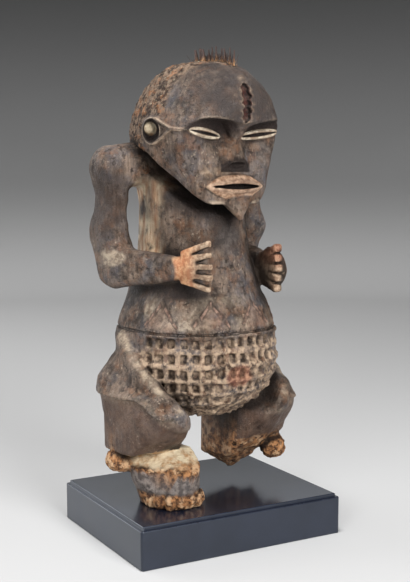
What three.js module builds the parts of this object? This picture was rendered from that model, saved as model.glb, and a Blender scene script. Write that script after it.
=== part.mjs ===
// A carved wooden figure on one remaining foot, with short pegs in the crown of its head, standing on a black
// plinth. Millimetres, +Z up, the origin under the plinth's middle, the plinth's long front towards -Y.
import * as THREE from "three";

// Driving sizes. "forward" counts from the figure's own axis towards its front, "side" from its middle plane
// towards its left hand, and heights from the plinth's top.
const plinth = {
  width: 196, depth: 160, height: 36, rebate: 3, rebateHeight: 3, corner: 2.5, cornerSteps: 3, bevel: 0.5,
};
const stance = { x: -8.4, y: 1.6, turn: THREE.MathUtils.degToRad(10), gap: 0.3 };
const gridStep = 2.2;
const block = 4;
const figureTriangles = 9000;
const reach = { side: 112, back: 76, front: 100, top: 388 };
const quills = { count: 10, first: 9, last: 57, height: 13, base: 1.1, tip: 0.6, sides: 6, lean: 0.25, clear: 0.3 };

// Small tools for distances: a negative distance lies inside the wood.
const clamp = (v, low, high) => Math.min(high, Math.max(low, v));
const mix = (a, b, t) => a + (b - a) * t;
const smoothstep = (low, high, v) => {
  const t = clamp((v - low) / (high - low), 0, 1);
  return t * t * (3 - 2 * t);
};
const join = (a, b, round) => {
  const h = Math.max(round - Math.abs(a - b), 0);
  return Math.min(a, b) - (h * h) / (4 * round);
};
const overlap = (a, b, round) => -join(-a, -b, round);
const cut = (a, tool, round) => -join(-a, tool, round);

// An ellipsoid: at is [side, forward, height] of its centre, radii its three half sizes.
function egg(p, at, radii) {
  const [x, y, z] = [p[0] - at[0], p[1] - at[1], p[2] - at[2]];
  const near = Math.hypot(x / radii[0], y / radii[1], z / radii[2]);
  const steep = Math.hypot(x / radii[0] ** 2, y / radii[1] ** 2, z / radii[2] ** 2);
  return steep > 1e-9 ? (near * (near - 1)) / steep : -Math.min(...radii);
}

// The size of a vector in a rounded square: power 2 is a circle, more is squarer.
const rounded = ([a, b], power) => (Math.abs(a) ** power + Math.abs(b) ** power) ** (1 / power);
const groove = (v, width) => smoothstep(width, width * 0.4, Math.abs(v));

// A tapering limb from one end to the other. Each end is [side, forward, height, half thickness, half height],
// the half thickness measured in the direction "across". Power squares its section.
function limb(p, from, to, across = [1, 0, 0], power = 2) {
  const d = [to[0] - from[0], to[1] - from[1], to[2] - from[2]];
  const q = [p[0] - from[0], p[1] - from[1], p[2] - from[2]];
  const t = clamp((q[0] * d[0] + q[1] * d[1] + q[2] * d[2]) / (d[0] ** 2 + d[1] ** 2 + d[2] ** 2), 0, 1);
  const o = [q[0] - d[0] * t, q[1] - d[1] * t, q[2] - d[2] * t];
  const flat = o[0] * across[0] + o[1] * across[1] + o[2] * across[2];
  const rest = Math.sqrt(Math.max(o[0] ** 2 + o[1] ** 2 + o[2] ** 2 - flat ** 2, 0));
  const [w, h] = [mix(from[3], to[3], t), mix(from[4], to[4], t)];
  return (rounded([flat / w, rest / h], power) - 1) * Math.min(w, h);
}

// The side of a plane through a point, positive on the side that its facing direction points to.
function plane(p, at, facing) {
  const size = Math.hypot(...facing);
  return ((p[0] - at[0]) * facing[0] + (p[1] - at[1]) * facing[1] + (p[2] - at[2]) * facing[2]) / size;
}

// 1 on a line of points and 0 from a width away: the two straight sides of a ridge.
function crest(p, line, width) {
  const point = [0.001, 0.001];
  const far = line.slice(1).map((end, i) => limb(p, [...line[i], ...point], [...end, ...point]) + 0.001);
  return 1 - Math.min(width, ...far) / width;
}

// The value at height z of a profile, a list of [height, value, value...] rows in rising order, on a smooth
// curve through the rows.
function along(profile, z, column) {
  const last = profile.length - 1;
  if (z <= profile[0][0]) return profile[0][column];
  if (z >= profile[last][0]) return profile[last][column];
  const i = profile.findIndex((row) => row[0] > z) - 1;
  const steep = (k) => {
    const [a, b] = [profile[Math.max(k - 1, 0)], profile[Math.min(k + 1, last)]];
    return (b[column] - a[column]) / (b[0] - a[0]);
  };
  const gap = profile[i + 1][0] - profile[i][0];
  const t = (z - profile[i][0]) / gap;
  const bend = (t ** 3 - 2 * t * t + t) * gap * steep(i) + (t ** 3 - t * t) * gap * steep(i + 1);
  return mix(profile[i][column], profile[i + 1][column], t * t * (3 - 2 * t)) + bend;
}

// Torso: rows of height, half width, half depth, forward centre.
const torsoProfile = [
  [84, 48, 46, -6],
  [110, 62, 60, 2],
  [148, 67, 67, 7],
  [164, 62, 63, 7],
  [182, 55, 57, 6],
  [205, 47, 52, 4],
  [235, 43, 48, 2],
  [262, 44, 44, 0],
  [290, 45, 38, -6],
  [316, 42, 32, -12],
];
const chestSlope = { at: [0, 0, 283], facing: [0, 0.6, 0.8] };
const beltLine = { height: 150, depth: 1.2, width: 1.6 };
function torso(p) {
  const [w, d, c] = [1, 2, 3].map((k) => along(torsoProfile, p[2], k));
  const reach = Math.min(w, d) - groove(p[2] - beltLine.height, beltLine.width) * beltLine.depth;
  const round = (rounded([p[0] / w, (p[1] - c) / d], 2.3) - 1) * Math.min(w, d) + Math.min(w, d) - reach;
  return overlap(overlap(round, plane(p, chestSlope.at, chestSlope.facing), 4), torsoProfile[0][0] - p[2], 20);
}

// Belly: a bowl that hangs over the legs, cut all over with rows of square pits up to the belt.
const belly = { at: [0, 19, 123], radii: [67, 59, 50], top: 149 };
const pits = { rows: [142.5, 129.5, 117, 105, 94], half: 4.2, step: 8.6, width: 0.3, reach: 77, depth: 3 };
const bellyBowl = (p) => overlap(egg(p, belly.at, belly.radii), p[2] - belly.top, 3);
function pitDepth(p) {
  const angle = THREE.MathUtils.radToDeg(Math.atan2(p[0], p[1] - 7));
  if (Math.abs(angle) > pits.reach || p[2] > belly.top) return 0;
  const across = angle / pits.step + 0.5;
  const column = smoothstep(pits.width + 0.09, pits.width - 0.07, Math.abs(across - Math.round(across)));
  const row = Math.max(...pits.rows.map((z) => smoothstep(pits.half + 1, pits.half - 0.8, Math.abs(p[2] - z))));
  return pits.depth * column * row * smoothstep(pits.reach, pits.reach - 3, Math.abs(angle));
}

// Legs, drawn for the figure's left and mirrored: a hip with one flat outer facet, a thigh that ends in a wedge
// of a knee, and a short, square calf. A ridge runs down the thigh beside the belly, and a step goes round the
// top of the calf. The left calf is broken off to a blunt V, the right one ends above the foot.
const side = (p) => [Math.abs(p[0]), p[1], p[2]];
const hip = { top: [45, -8, 124, 22, 26], low: [55, -5, 100, 33, 31] };
const seat = { at: [27, -36, 108], radii: [30, 22, 27] };
const hipFacet = { at: [66, -12, 149], facing: [0.85, 0.28, 0.44] };
const thigh = { from: [55, 0, 100, 30, 26], to: [58, 38, 78, 24, 23] };
const knee = {
  upper: [58, 57, 85], slope: [0, 0.42, 0.91],
  inner: [44, 50, 82], lean: [-0.55, 0.45, 0.7],
  lower: [58, 59, 73], underLeft: [0, 0.78, -0.62], underRight: [0, 0.65, -0.76],
};
const calfInside = { at: [34, 28, 46], facing: [-0.95, 0.27, 0.13] };
const thighRidge = {
  line: [
    [64.8, -11.5, 140.4], [68.3, 4.5, 127.4], [69.3, 19.5, 114.4], [66.3, 33, 103.4], [64.8, 46.5, 92.4],
    [56.8, 56, 81.4],
  ],
  core: 5.5,
};
const calfStep = {
  line: [[88, -14, 95.5], [87.5, 7.6, 94], [82, 24.7, 95.2], [78, 40.3, 92.7], [73, 56, 82], [52, 60, 72]],
  width: 7, rise: 1.6, inset: 2.2,
};
const calf = { at: [56, 9], half: [31, 43], top: 98, foot: 45 };
const breaks = [
  { at: [48, 0, 7], facing: [-0.65, 0, -0.76] },
  { at: [48, 0, 7], facing: [0.29, 0.53, -0.8] },
  { at: [48, 0, 7], facing: [0.1, -0.45, -0.89] },
  { at: [50, 36, 40], facing: [0, 0.62, -0.78] },
];
function leg(p) {
  const q = side(p);
  const upper = limb(q, hip.top, hip.low, [1, 0, 0], 3);
  const under = plane(q, knee.lower, p[0] > 0 ? knee.underLeft : knee.underRight);
  const wedge = overlap(plane(q, knee.upper, knee.slope), under, 6);
  const front = overlap(limb(q, thigh.from, thigh.to, [1, 0, 0], 2.6), wedge, 4);
  const [x, y] = [0, 1].map((k) => (q[k] - calf.at[k]) / calf.half[k]);
  const block = overlap((rounded([x, y], 2.8) - 1) * calf.half[0], under, 5);
  const end = p[0] > 0 ? Math.max(...breaks.map((b) => plane(q, b.at, b.facing))) : calf.foot - q[2];
  const lower = overlap(overlap(block, q[2] - calf.top, 8), end, 3);
  let bend = overlap(join(front, lower, 6), plane(q, knee.inner, knee.lean), 3);
  if (p[0] < 0) bend = overlap(bend, plane(q, calfInside.at, calfInside.facing), 4);
  let whole = join(join(upper, egg(q, seat.at, seat.radii), 8), bend, 6);
  whole = overlap(whole, plane(q, hipFacet.at, hipFacet.facing), 2.5);
  const core = [thighRidge.core, thighRidge.core];
  thighRidge.line.slice(1).forEach((end, i) => {
    whole = join(whole, limb(q, [...thighRidge.line[i], ...core], [...end, ...core]), 9);
  });
  whole -= calfStep.rise * crest(q, calfStep.line, calfStep.width);
  const brink = mix(95, 82, smoothstep(25, 58, q[1]));
  return whole + calfStep.inset * smoothstep(brink + 1, brink - 1, q[2]) * smoothstep(58, 66, q[0]);
}

// Arms, drawn for the figure's left and mirrored: a square shoulder, a waisted upper arm, a bent elbow and a
// forearm that comes forward beside the belly. The left arm bows out and forward by the size of "bow".
const bow = { left: { side: 8, forward: 9 }, right: { side: 0, forward: 0 } };
function arm(q, { side, forward }) {
  const waist = [67 + side * 0.8, -24 + forward, 263, 11, 14];
  const bend = [71 + side, -24 + forward, 234, 13, 17];
  const shoulder = limb(q, [44, -22, 290, 19, 19], [64, -25, 289, 18, 18], [0, 1, 0], 3.2);
  const upper = limb(q, [67, -25, 284, 15.5, 16], waist, [1, 0, 0], 2.8);
  const middle = limb(q, waist, bend, [1, 0, 0], 2.8);
  const elbow = limb(q, bend, [68, -17, 208, 14, 18], [1, 0, 0], 2.8);
  const fore = limb(q, [67, -16, 203, 14, 18], [49, 38, 204, 8, 11], [1, 0, 0], 3);
  const upperArm = join(join(shoulder, upper, 6), join(middle, elbow, 3), 3);
  return join(upperArm, fore, 4);
}

// Hands: a wedge of a palm and five fingers in a fan, the palms facing each other.
const palm = { wrist: [49, 38, 205, 5.5, 6], knuckles: [46, 53, 206, 4.2, 12.8] };
const fingers = { from: 53, to: 76, inward: 5, knuckleStep: 5.5, tipStep: 9.2, taper: 0.82 };
const hands = {
  left: { low: 6, length: 0.62, fan: 0.92, thick: 5.6 }, right: { low: 0, length: 1, fan: 1, thick: 3.3 },
};
function hand(q, { low, length, fan, thick }) {
  const [side, , height] = palm.knuckles;
  const p = [q[0], q[1], height + (q[2] + low - height) / fan];
  const [base, tip] = [thick, thick * fingers.taper];
  let d = limb(p, palm.wrist, palm.knuckles);
  for (let i = -2; i <= 2; i++) {
    const end = mix(fingers.from, fingers.to, length) - Math.abs(i);
    const from = [side, fingers.from - 2 * Math.abs(i), height + i * fingers.knuckleStep];
    const to = [side - fingers.inward, end, height + 2 + i * fingers.tipStep];
    d = join(d, limb(p, [...from, base, base], [...to, tip, tip], [1, 0, 0], 2.6), 1);
  }
  return d;
}

// Head: a high dome, a flat face below an overhanging brow, and what is carved on them.
const skull = { at: [0, 18, 313], radii: [56, 75, 68], under: 54, front: 77, crown: 376 };
const faceOutline = [
  [243, 5], [248, 18], [257, 29], [268, 37], [279, 39.5], [294, 43], [304, 46.5], [318, 50], [345, 52],
];
const faceFlat = { forward: 59.5, splay: 0.12, top: 326 };
const jaw = { at: [0, 3, 304], facing: [0, -0.65, -0.76] };
const jawBack = 304;
const brow = { at: [30, 68, 307], radii: [31, 24, 20.5] };
function face(p) {
  const width = along(faceOutline, p[2], 1) + faceFlat.splay * Math.max(faceFlat.forward - p[1], 0);
  const block = overlap(Math.abs(p[0]) - width, p[1] - faceFlat.forward, 7);
  const ball = egg(p, skull.at, [skull.radii[0] - 0.5, skull.radii[1], 95]);
  return Math.max(block, ball, -p[1], p[2] - faceFlat.top);
}
function dome(p) {
  const low = p[2] < skull.at[2] ? skull.under : skull.radii[2];
  const round = egg(p, skull.at, [skull.radii[0], skull.radii[1], low]);
  const front = overlap(overlap(round, p[1] - skull.front, 8), p[2] - skull.crown, 5);
  const underBrow = p[1] - 56 - Math.max(p[2] - 318, 0) * 4;
  return cut(overlap(front, underBrow, 10), egg(side(p), brow.at, brow.radii), 1.5);
}
// Nose: a wedge with a flat front that widens and rises towards its slanting underside. The pairs are the sizes
// at its top and at its base.
const bridge = { top: [-2, 69, 335, 20, 8.5], low: [-1.5, 59, 308, 2.5, 4.5] };
const nose = { side: -0.5, face: 58.5, top: 318, base: 285, half: [5, 16], flat: [2, 6.5], rise: [2, 9.5] };
const noseBase = { at: [0, 67.5, 293], facing: [0, 0.68, -0.73], hollow: [0, 64.5, 289], radii: [10, 5, 3] };
function noseOf(p) {
  const x = Math.abs(p[0] - nose.side);
  const t = clamp((nose.top - p[2]) / (nose.top - nose.base), 0, 1.1);
  const [half, flat, rise] = [nose.half, nose.flat, nose.rise].map(([top, base]) => mix(top, base, t));
  const roof = p[1] - nose.face - Math.min(rise, ((half - x) * rise) / (half - flat));
  const wedge = overlap(overlap(roof * 0.8, p[2] - nose.top, 4), plane(p, noseBase.at, noseBase.facing), 0.8);
  return join(Math.max(wedge, 50 - p[1]), limb(p, bridge.top, bridge.low), 3);
}
// Lips: a leaf seen from the front, standing out from the face, with a slit between them.
const mouth = { at: [-0.5, 0, 272], half: [33, 12], front: 67, bend: 0.0055, slit: [27, 2.3] };
function lips(p) {
  const [x, z] = [p[0] - mouth.at[0], p[2] - mouth.at[2]];
  const leaf = (size) => Math.abs(z) - size[1] * (1 - (x / size[0]) ** 2);
  const front = p[1] - mouth.front + mouth.bend * x * x + 0.05 * z * z;
  const body = Math.max(overlap(leaf(mouth.half) * 0.85, front, 4), 50 - p[1]);
  return cut(body, Math.max(leaf(mouth.slit), 59 - p[1]), 1);
}
const beard = { top: [2.5, 57, 262, 18, 8.5], tip: [0.5, 66, 246.5, 2.6, 3.2] };
// Eyes: almonds with a slit. The right eye's inner corner lies farther out than the left one's.
const eyes = { outer: [48, 57, 318], inner: [9.8, 55.5, 313], apart: 4.7, swell: 4.6, slit: 1.3 };
function eye(p) {
  const q = side(p);
  const inner = [eyes.inner[0] + (p[0] < 0 ? eyes.apart : -eyes.apart), eyes.inner[1], eyes.inner[2]];
  const t = clamp((q[0] - inner[0]) / (eyes.outer[0] - inner[0]), 0, 1);
  const [x, y, z] = [0, 1, 2].map((k) => q[k] - mix(inner[k], eyes.outer[k], t));
  const leaf = Math.sqrt(Math.max(4 * t * (1 - t), 0));
  const ball = Math.hypot(x, y, z * 0.95) - 1 - (eyes.swell - 1) * leaf;
  return cut(ball, Math.max(Math.abs(z) - eyes.slit * leaf, 1.5 - y), 0.5);
}
const ear = { at: [53, 19, 318], radii: [8, 14, 13.5], bowl: [60, 20, 318], bowlRadii: [9, 10.5, 10] };
const earLump = { at: [54, 14.5, 320], radii: [5.4, 4.8, 4.8] };
const earRidges = [
  [[57, 26, 327.5], [55.4, 34, 323.4], [54.2, 43, 319.4], [51.6, 51.5, 318.4], [47.5, 57.5, 318.4]],
  [[57, 22, 307.5], [56.3, 30.6, 311], [55.3, 36.1, 314.9], [54.2, 43, 319]],
];
function earOf(q) {
  let d = cut(egg(q, ear.at, ear.radii), egg(q, ear.bowl, ear.bowlRadii), 1);
  d = join(d, egg(q, earLump.at, earLump.radii), 1);
  for (const line of earRidges) {
    line.slice(1).forEach((end, i) => {
      d = join(d, limb(q, [...line[i], 2.2, 1.6], [...end, 2.2, 1.6]), 1);
    });
  }
  return d;
}
const scar = { at: [-2.5, 77, 340], half: [4.6, 6, 17] };
const eyeHollow = { at: [19, 70, 311], radii: [17, 14, 11] };
function head(p) {
  const q = side(p);
  let d = join(dome(p), face(p), 6);
  d = overlap(d, join(plane(p, jaw.at, jaw.facing), jawBack - p[2], 6), 3);
  d = cut(d, egg(q, eyeHollow.at, eyeHollow.radii), 7);
  d = join(d, noseOf(p), 4);
  d = cut(d, egg(p, noseBase.hollow, noseBase.radii), 1.5);
  d = join(d, lips(p), 1);
  d = join(d, limb(p, beard.top, beard.tip), 2);
  d = join(d, eye(p), 1);
  d = join(cut(d, egg(q, ear.bowl, ear.bowlRadii), 1), earOf(q), 1);
  return cut(d, egg(p, scar.at, scar.half), 1);
}
const neck = (p) => limb(p, [0, -8, 258, 26, 24], [0, 4, 312, 26, 26], [0, 1, 0]);

// The right foot that is left: a block whose top slopes down to its front, with the stubs of its toes and a lump
// at the heel. Of the left foot only a lump under the ragged end of the leg remains.
const foot = {
  at: [-43, 23], radii: [22, 28], top: 47, flare: 0.12, slant: 0.16,
  slope: { at: [-43, 50, 33.5], facing: [0.06, 0.56, 0.83] },
  flank: { at: [-69, 27, 33.5], facing: [-0.5, 0.36, 0.79] },
  corner: { at: [-59, 39, 34], facing: [-0.78, 0.62, 0] },
  toes: [[-62, 24, 6], [-61, 34, 7], [-56, 42, 6.5], [-48, 46.5, 7], [-40, 48, 7], [-32, 47, 6.5], [-25, 42, 6]],
  toe: [5.4, 6, 7.2],
  heel: { at: [-75, -2, 38], radii: [13, 14, 11] },
};
function footBlock(p) {
  const [w, d] = foot.radii.map((r) => r + foot.flare * p[2] - 1.2 * smoothstep(18, 12, p[2]));
  const [x, y] = [(p[0] - foot.at[0] + foot.slant * p[2]) / w, (p[1] - foot.at[1]) / d];
  const slope = overlap(plane(p, foot.slope.at, foot.slope.facing), plane(p, foot.flank.at, foot.flank.facing), 6);
  let block = overlap((rounded([x, y], 2.6) - 1) * w, plane(p, foot.corner.at, foot.corner.facing), 5);
  block = overlap(block, Math.max(slope, p[2] - foot.top), 1.5);
  for (const at of foot.toes) block = join(block, egg(p, at, foot.toe), 1);
  return Math.max(join(block, egg(p, foot.heel.at, foot.heel.radii), 4), -p[2]);
}
const brokenToes = (p) => egg(p, [74, 28, 32], [12, 12, 11]);

function figure(p) {
  const q = side(p);
  let d = torso(p);
  if (p[2] < 170) {
    d = join(d, bellyBowl(p), 2) + pitDepth(p);
    d = join(d, leg(p), 3);
    d = join(d, footBlock(p), 2);
    d = join(d, brokenToes(p), 4);
  }
  if (p[2] > 160) {
    const which = p[0] > 0 ? "left" : "right";
    d = join(d, join(arm(q, bow[which]), hand(q, hands[which]), 3), 4);
  }
  if (p[2] > 225) d = Math.min(join(d, neck(p), 6), head(p));
  return d;
}

// The surface where a distance is zero, as triangles: each cell of a grid is cut into six tetrahedra, which
// leaves no hole and no doubled edge.
const cornerOf = (k) => [k & 1, (k >> 1) & 1, (k >> 2) & 1];
const sixTetrahedra = [[0, 1, 3, 7], [0, 3, 2, 7], [0, 2, 6, 7], [0, 6, 4, 7], [0, 4, 5, 7], [0, 5, 1, 7]];
function surface(distance, low, high, step) {
  const n = low.map((v, k) => Math.ceil((high[k] - v) / step) + 1);
  const index = (i, j, k) => (k * n[1] + j) * n[0] + i;
  const place = (id) => [id % n[0], Math.floor(id / n[0]) % n[1], Math.floor(id / (n[0] * n[1]))]
    .map((v, k) => low[k] + v * step);
  const values = new Float64Array(n[0] * n[1] * n[2]);
  const far = block * step * 1.3;
  for (let k = 0; k < n[2]; k += block)
    for (let j = 0; j < n[1]; j += block)
      for (let i = 0; i < n[0]; i += block) {
        const middle = low.map((v, axis) => v + ([i, j, k][axis] + (block - 1) / 2) * step);
        const guess = distance(middle);
        for (let c = k; c < Math.min(k + block, n[2]); c++)
          for (let b = j; b < Math.min(j + block, n[1]); b++)
            for (let a = i; a < Math.min(i + block, n[0]); a++) {
              const id = index(a, b, c);
              values[id] = Math.abs(guess) > far ? guess : distance(place(id)) || 1e-9;
            }
      }

  const positions = [];
  const triangles = [];
  const made = new Map();
  const crossing = (a, b) => {
    if (a > b) [a, b] = [b, a];
    const key = a * values.length + b;
    if (!made.has(key)) {
      made.set(key, positions.length);
      const t = clamp(values[a] / (values[a] - values[b]), 0.02, 0.98);
      const [pa, pb] = [place(a), place(b)];
      positions.push(pa.map((v, k) => mix(v, pb[k], t)));
    }
    return made.get(key);
  };
  const add = (...loop) => {
    for (let i = 1; i < loop.length - 1; i++) triangles.push([loop[0], loop[i], loop[i + 1]]);
  };
  for (let k = 0; k < n[2] - 1; k++)
    for (let j = 0; j < n[1] - 1; j++)
      for (let i = 0; i < n[0] - 1; i++) {
        const corners = [...Array(8).keys()].map((c) => {
          const [a, b, e] = cornerOf(c);
          return index(i + a, j + b, k + e);
        });
        const solid = corners.filter((c) => values[c] < 0).length;
        if (solid === 0 || solid === 8) continue;
        for (const tet of sixTetrahedra) {
          const ids = tet.map((c) => corners[c]);
          const inside = [0, 1, 2, 3].filter((c) => values[ids[c]] < 0);
          const outside = [0, 1, 2, 3].filter((c) => values[ids[c]] >= 0);
          if (inside.length === 0 || outside.length === 0) continue;
          // An even order of the four corners keeps the faces pointing out.
          const order = [...inside, ...outside];
          let odd = false;
          for (let a = 0; a < 4; a++) for (let b = a + 1; b < 4; b++) if (order[a] > order[b]) odd = !odd;
          const [a, b, c, d] = order.map((o) => ids[o]);
          let loop;
          if (inside.length === 1) loop = [crossing(a, b), crossing(a, c), crossing(a, d)];
          else if (inside.length === 3) loop = [crossing(a, d), crossing(b, d), crossing(c, d)];
          else loop = [crossing(a, c), crossing(a, d), crossing(b, d), crossing(b, c)];
          add(...(odd ? loop.reverse() : loop));
        }
      }
  return { positions, triangles };
}

// The one big body of a mesh: a speck of wood or air no larger than a cell is left out.
function mainBody({ positions, triangles }) {
  const parent = positions.map((_, v) => v);
  const rootOf = (v) => {
    while (parent[v] !== v) v = parent[v] = parent[parent[v]];
    return v;
  };
  for (const [a, b, c] of triangles) {
    parent[rootOf(a)] = rootOf(b);
    parent[rootOf(b)] = rootOf(c);
  }
  const sizes = new Map();
  for (const t of triangles) sizes.set(rootOf(t[0]), (sizes.get(rootOf(t[0])) ?? 0) + 1);
  const largest = [...sizes].reduce((a, b) => (b[1] > a[1] ? b : a))[0];
  return { positions, triangles: triangles.filter((t) => rootOf(t[0]) === largest) };
}

// Thins a closed mesh to a number of triangles. It takes out the edge whose loss moves the surface least, by
// the sum of squared distances to the planes around it, and leaves an edge that would fold or pinch the mesh.
function thin({ positions, triangles }, target) {
  const quadrics = positions.map(() => new Float64Array(10));
  const around = positions.map(() => new Set());
  const alive = new Uint8Array(triangles.length).fill(1);
  const minus = (a, b) => [a[0] - b[0], a[1] - b[1], a[2] - b[2]];
  const cross = (a, b) => [a[1] * b[2] - a[2] * b[1], a[2] * b[0] - a[0] * b[2], a[0] * b[1] - a[1] * b[0]];
  const dot = (a, b) => a[0] * b[0] + a[1] * b[1] + a[2] * b[2];
  const normal = ([a, b, c]) => cross(minus(b, a), minus(c, a));
  triangles.forEach((t, f) => {
    const [a, b, c] = t.map((v) => positions[v]);
    const n = normal([a, b, c]);
    const size = Math.hypot(...n) || 1e-12;
    const [x, y, z] = n.map((v) => v / size);
    const w = -dot([x, y, z], a);
    const q = [x * x, x * y, x * z, x * w, y * y, y * z, y * w, z * z, z * w, w * w];
    for (const v of t) {
      around[v].add(f);
      for (let i = 0; i < 10; i++) quadrics[v][i] += q[i] * size;
    }
  });
  const error = (q, [x, y, z]) =>
    q[0] * x * x + 2 * q[1] * x * y + 2 * q[2] * x * z + 2 * q[3] * x + q[4] * y * y +
    2 * q[5] * y * z + 2 * q[6] * y + q[7] * z * z + 2 * q[8] * z + q[9];
  // The best place for the joined point, or the middle of the edge where the planes are nearly parallel.
  const best = (q, a, b) => {
    const rows = [[q[0], q[1], q[2]], [q[1], q[4], q[5]], [q[2], q[5], q[7]]];
    const det = dot(rows[0], cross(rows[1], rows[2]));
    const middle = a.map((v, k) => (v + b[k]) / 2);
    const scale = q[0] + q[4] + q[7];
    if (Math.abs(det) > 1e-4 * scale ** 3) {
      const r = [-q[3], -q[6], -q[8]];
      const p = [
        dot(r, cross(rows[1], rows[2])), dot(rows[0], cross(r, rows[2])), dot(rows[0], cross(rows[1], r)),
      ].map((v) => v / det);
      if (Math.hypot(...minus(p, middle)) < 2 * Math.hypot(...minus(a, b))) return p;
    }
    return [middle, a, b].sort((u, v) => error(q, u) - error(q, v))[0];
  };
  const neighbours = (v) => {
    const found = new Set();
    for (const f of around[v]) for (const u of triangles[f]) if (u !== v) found.add(u);
    return found;
  };
  // A heap of edges, the cheapest on top. An entry is stale once either end has changed.
  const heap = [];
  const stamp = new Uint32Array(positions.length);
  const push = (entry) => {
    let i = heap.push(entry) - 1;
    while (i > 0) {
      const up = (i - 1) >> 1;
      if (heap[up].cost <= heap[i].cost) break;
      [heap[up], heap[i]] = [heap[i], heap[up]];
      i = up;
    }
  };
  const pop = () => {
    const top = heap[0];
    const last = heap.pop();
    if (heap.length) {
      heap[0] = last;
      for (let i = 0; ; ) {
        const [l, r] = [2 * i + 1, 2 * i + 2];
        let s = i;
        if (l < heap.length && heap[l].cost < heap[s].cost) s = l;
        if (r < heap.length && heap[r].cost < heap[s].cost) s = r;
        if (s === i) break;
        [heap[s], heap[i]] = [heap[i], heap[s]];
        i = s;
      }
    }
    return top;
  };
  const offer = (a, b) => {
    const q = quadrics[a].map((v, i) => v + quadrics[b][i]);
    const at = best(q, positions[a], positions[b]);
    const length = Math.hypot(...minus(positions[a], positions[b]));
    push({ a, b, at, cost: error(q, at) + 1e-3 * length ** 2, stamps: [stamp[a], stamp[b]] });
  };
  const folds = (v, other, at) => {
    for (const f of around[v]) {
      if (triangles[f].includes(other)) continue;
      const before = triangles[f].map((u) => positions[u]);
      const after = triangles[f].map((u) => (u === v ? at : positions[u]));
      const [n, m] = [normal(before), normal(after)];
      const size = Math.hypot(...m);
      if (dot(n, m) < 0.25 * Math.hypot(...n) * size || size < 1e-3) return true;
    }
    return false;
  };
  positions.forEach((_, a) => neighbours(a).forEach((b) => a < b && offer(a, b)));
  let count = triangles.length;
  while (count > target && heap.length) {
    const { a, b, at, stamps } = pop();
    if (stamps[0] !== stamp[a] || stamps[1] !== stamp[b]) continue;
    const [na, nb] = [neighbours(a), neighbours(b)];
    const shared = [...na].filter((v) => nb.has(v));
    if (shared.length !== 2 || folds(a, b, at) || folds(b, a, at)) continue;
    positions[a] = at;
    quadrics[b].forEach((v, i) => (quadrics[a][i] += v));
    for (const f of [...around[b]]) {
      if (triangles[f].includes(a)) {
        alive[f] = 0;
        count--;
        for (const v of triangles[f]) around[v].delete(f);
      } else {
        triangles[f] = triangles[f].map((v) => (v === b ? a : v));
        around[a].add(f);
      }
    }
    around[b].clear();
    stamp[a]++;
    stamp[b]++;
    for (const v of neighbours(a)) offer(a, v);
  }
  return { positions, triangles: triangles.filter((_, f) => alive[f]) };
}

function geometryOf({ positions, triangles }) {
  const geometry = new THREE.BufferGeometry();
  geometry.setAttribute("position", new THREE.Float32BufferAttribute(positions.flat(), 3));
  geometry.setIndex(triangles.flat());
  return geometry;
}

const wood = new THREE.MeshStandardMaterial({ color: 0x54463c, roughness: 0.75, metalness: 0 });
const quillWood = new THREE.MeshStandardMaterial({ color: 0x2c1d17, roughness: 0.8, metalness: 0 });
const blackPaint = new THREE.MeshStandardMaterial({ color: 0x15161b, roughness: 0.2, metalness: 0 });

function carvedFigure() {
  const low = [-reach.side, -reach.front, -4];
  const high = [reach.side, reach.back, reach.top];
  const distance = ([x, y, z]) => figure([x, -y, z]);
  const fine = mainBody(surface(distance, low, high, gridStep));
  const mesh = new THREE.Mesh(geometryOf(thin(fine, figureTriangles)), wood);
  mesh.name = "figure";
  return mesh;
}

// Quills: short dark pegs in one row along the crown, each standing a hair above the wood.
function quill(figureMesh, i) {
  const t = i / (quills.count - 1);
  const at = [Math.sin(i * 2.4), -mix(quills.first, quills.last, t)];
  const height = quills.height * (0.92 + 0.08 * Math.sin(i * 1.7));
  const sight = new THREE.Raycaster();
  const crownAt = (x, y) => {
    sight.set(new THREE.Vector3(x, y, 2 * reach.top), new THREE.Vector3(0, 0, -1));
    return sight.intersectObject(figureMesh)[0].point.z;
  };
  const rim = [...Array(quills.sides).keys()].map((k) => (k * 2 * Math.PI) / quills.sides);
  const crown = Math.max(...rim.map((a) => crownAt(
    at[0] + 1.2 * quills.base * Math.cos(a), at[1] + 1.2 * quills.base * Math.sin(a))));
  const geometry = new THREE.CylinderGeometry(quills.tip, quills.base, height, quills.sides);
  geometry.rotateX(Math.PI / 2);
  geometry.translate(0, 0, height / 2);
  const mesh = new THREE.Mesh(geometry, quillWood);
  mesh.name = `quill_${i + 1}`;
  mesh.position.set(...at, crown + quills.clear);
  mesh.rotation.x = quills.lean * (t - 0.4);
  return mesh;
}

// Plinth: a block with a shallow step all round its top edge and slightly rounded upright corners, drawn as a
// stack of level rings.
function plinthRing(inset, height) {
  const r = plinth.corner;
  const [x, y] = [plinth.width / 2 - inset - r, plinth.depth / 2 - inset - r];
  return [[1, 1], [-1, 1], [-1, -1], [1, -1]].flatMap(([a, b], corner) =>
    [...Array(plinth.cornerSteps + 1).keys()].map((s) => {
      const angle = ((corner + s / plinth.cornerSteps) * Math.PI) / 2;
      return [a * x + r * Math.cos(angle), b * y + r * Math.sin(angle), height];
    }));
}
function loft(rings) {
  const n = rings[0].length;
  const triangles = [];
  for (let k = 0; k < rings.length - 1; k++)
    for (let i = 0; i < n; i++) {
      const [a, b] = [k * n + i, k * n + ((i + 1) % n)];
      triangles.push([a, b, b + n], [a, b + n, a + n]);
    }
  const last = (rings.length - 1) * n;
  for (let i = 1; i < n - 1; i++) triangles.push([0, i + 1, i], [last, last + i, last + i + 1]);
  return { positions: rings.flat(), triangles };
}
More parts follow.
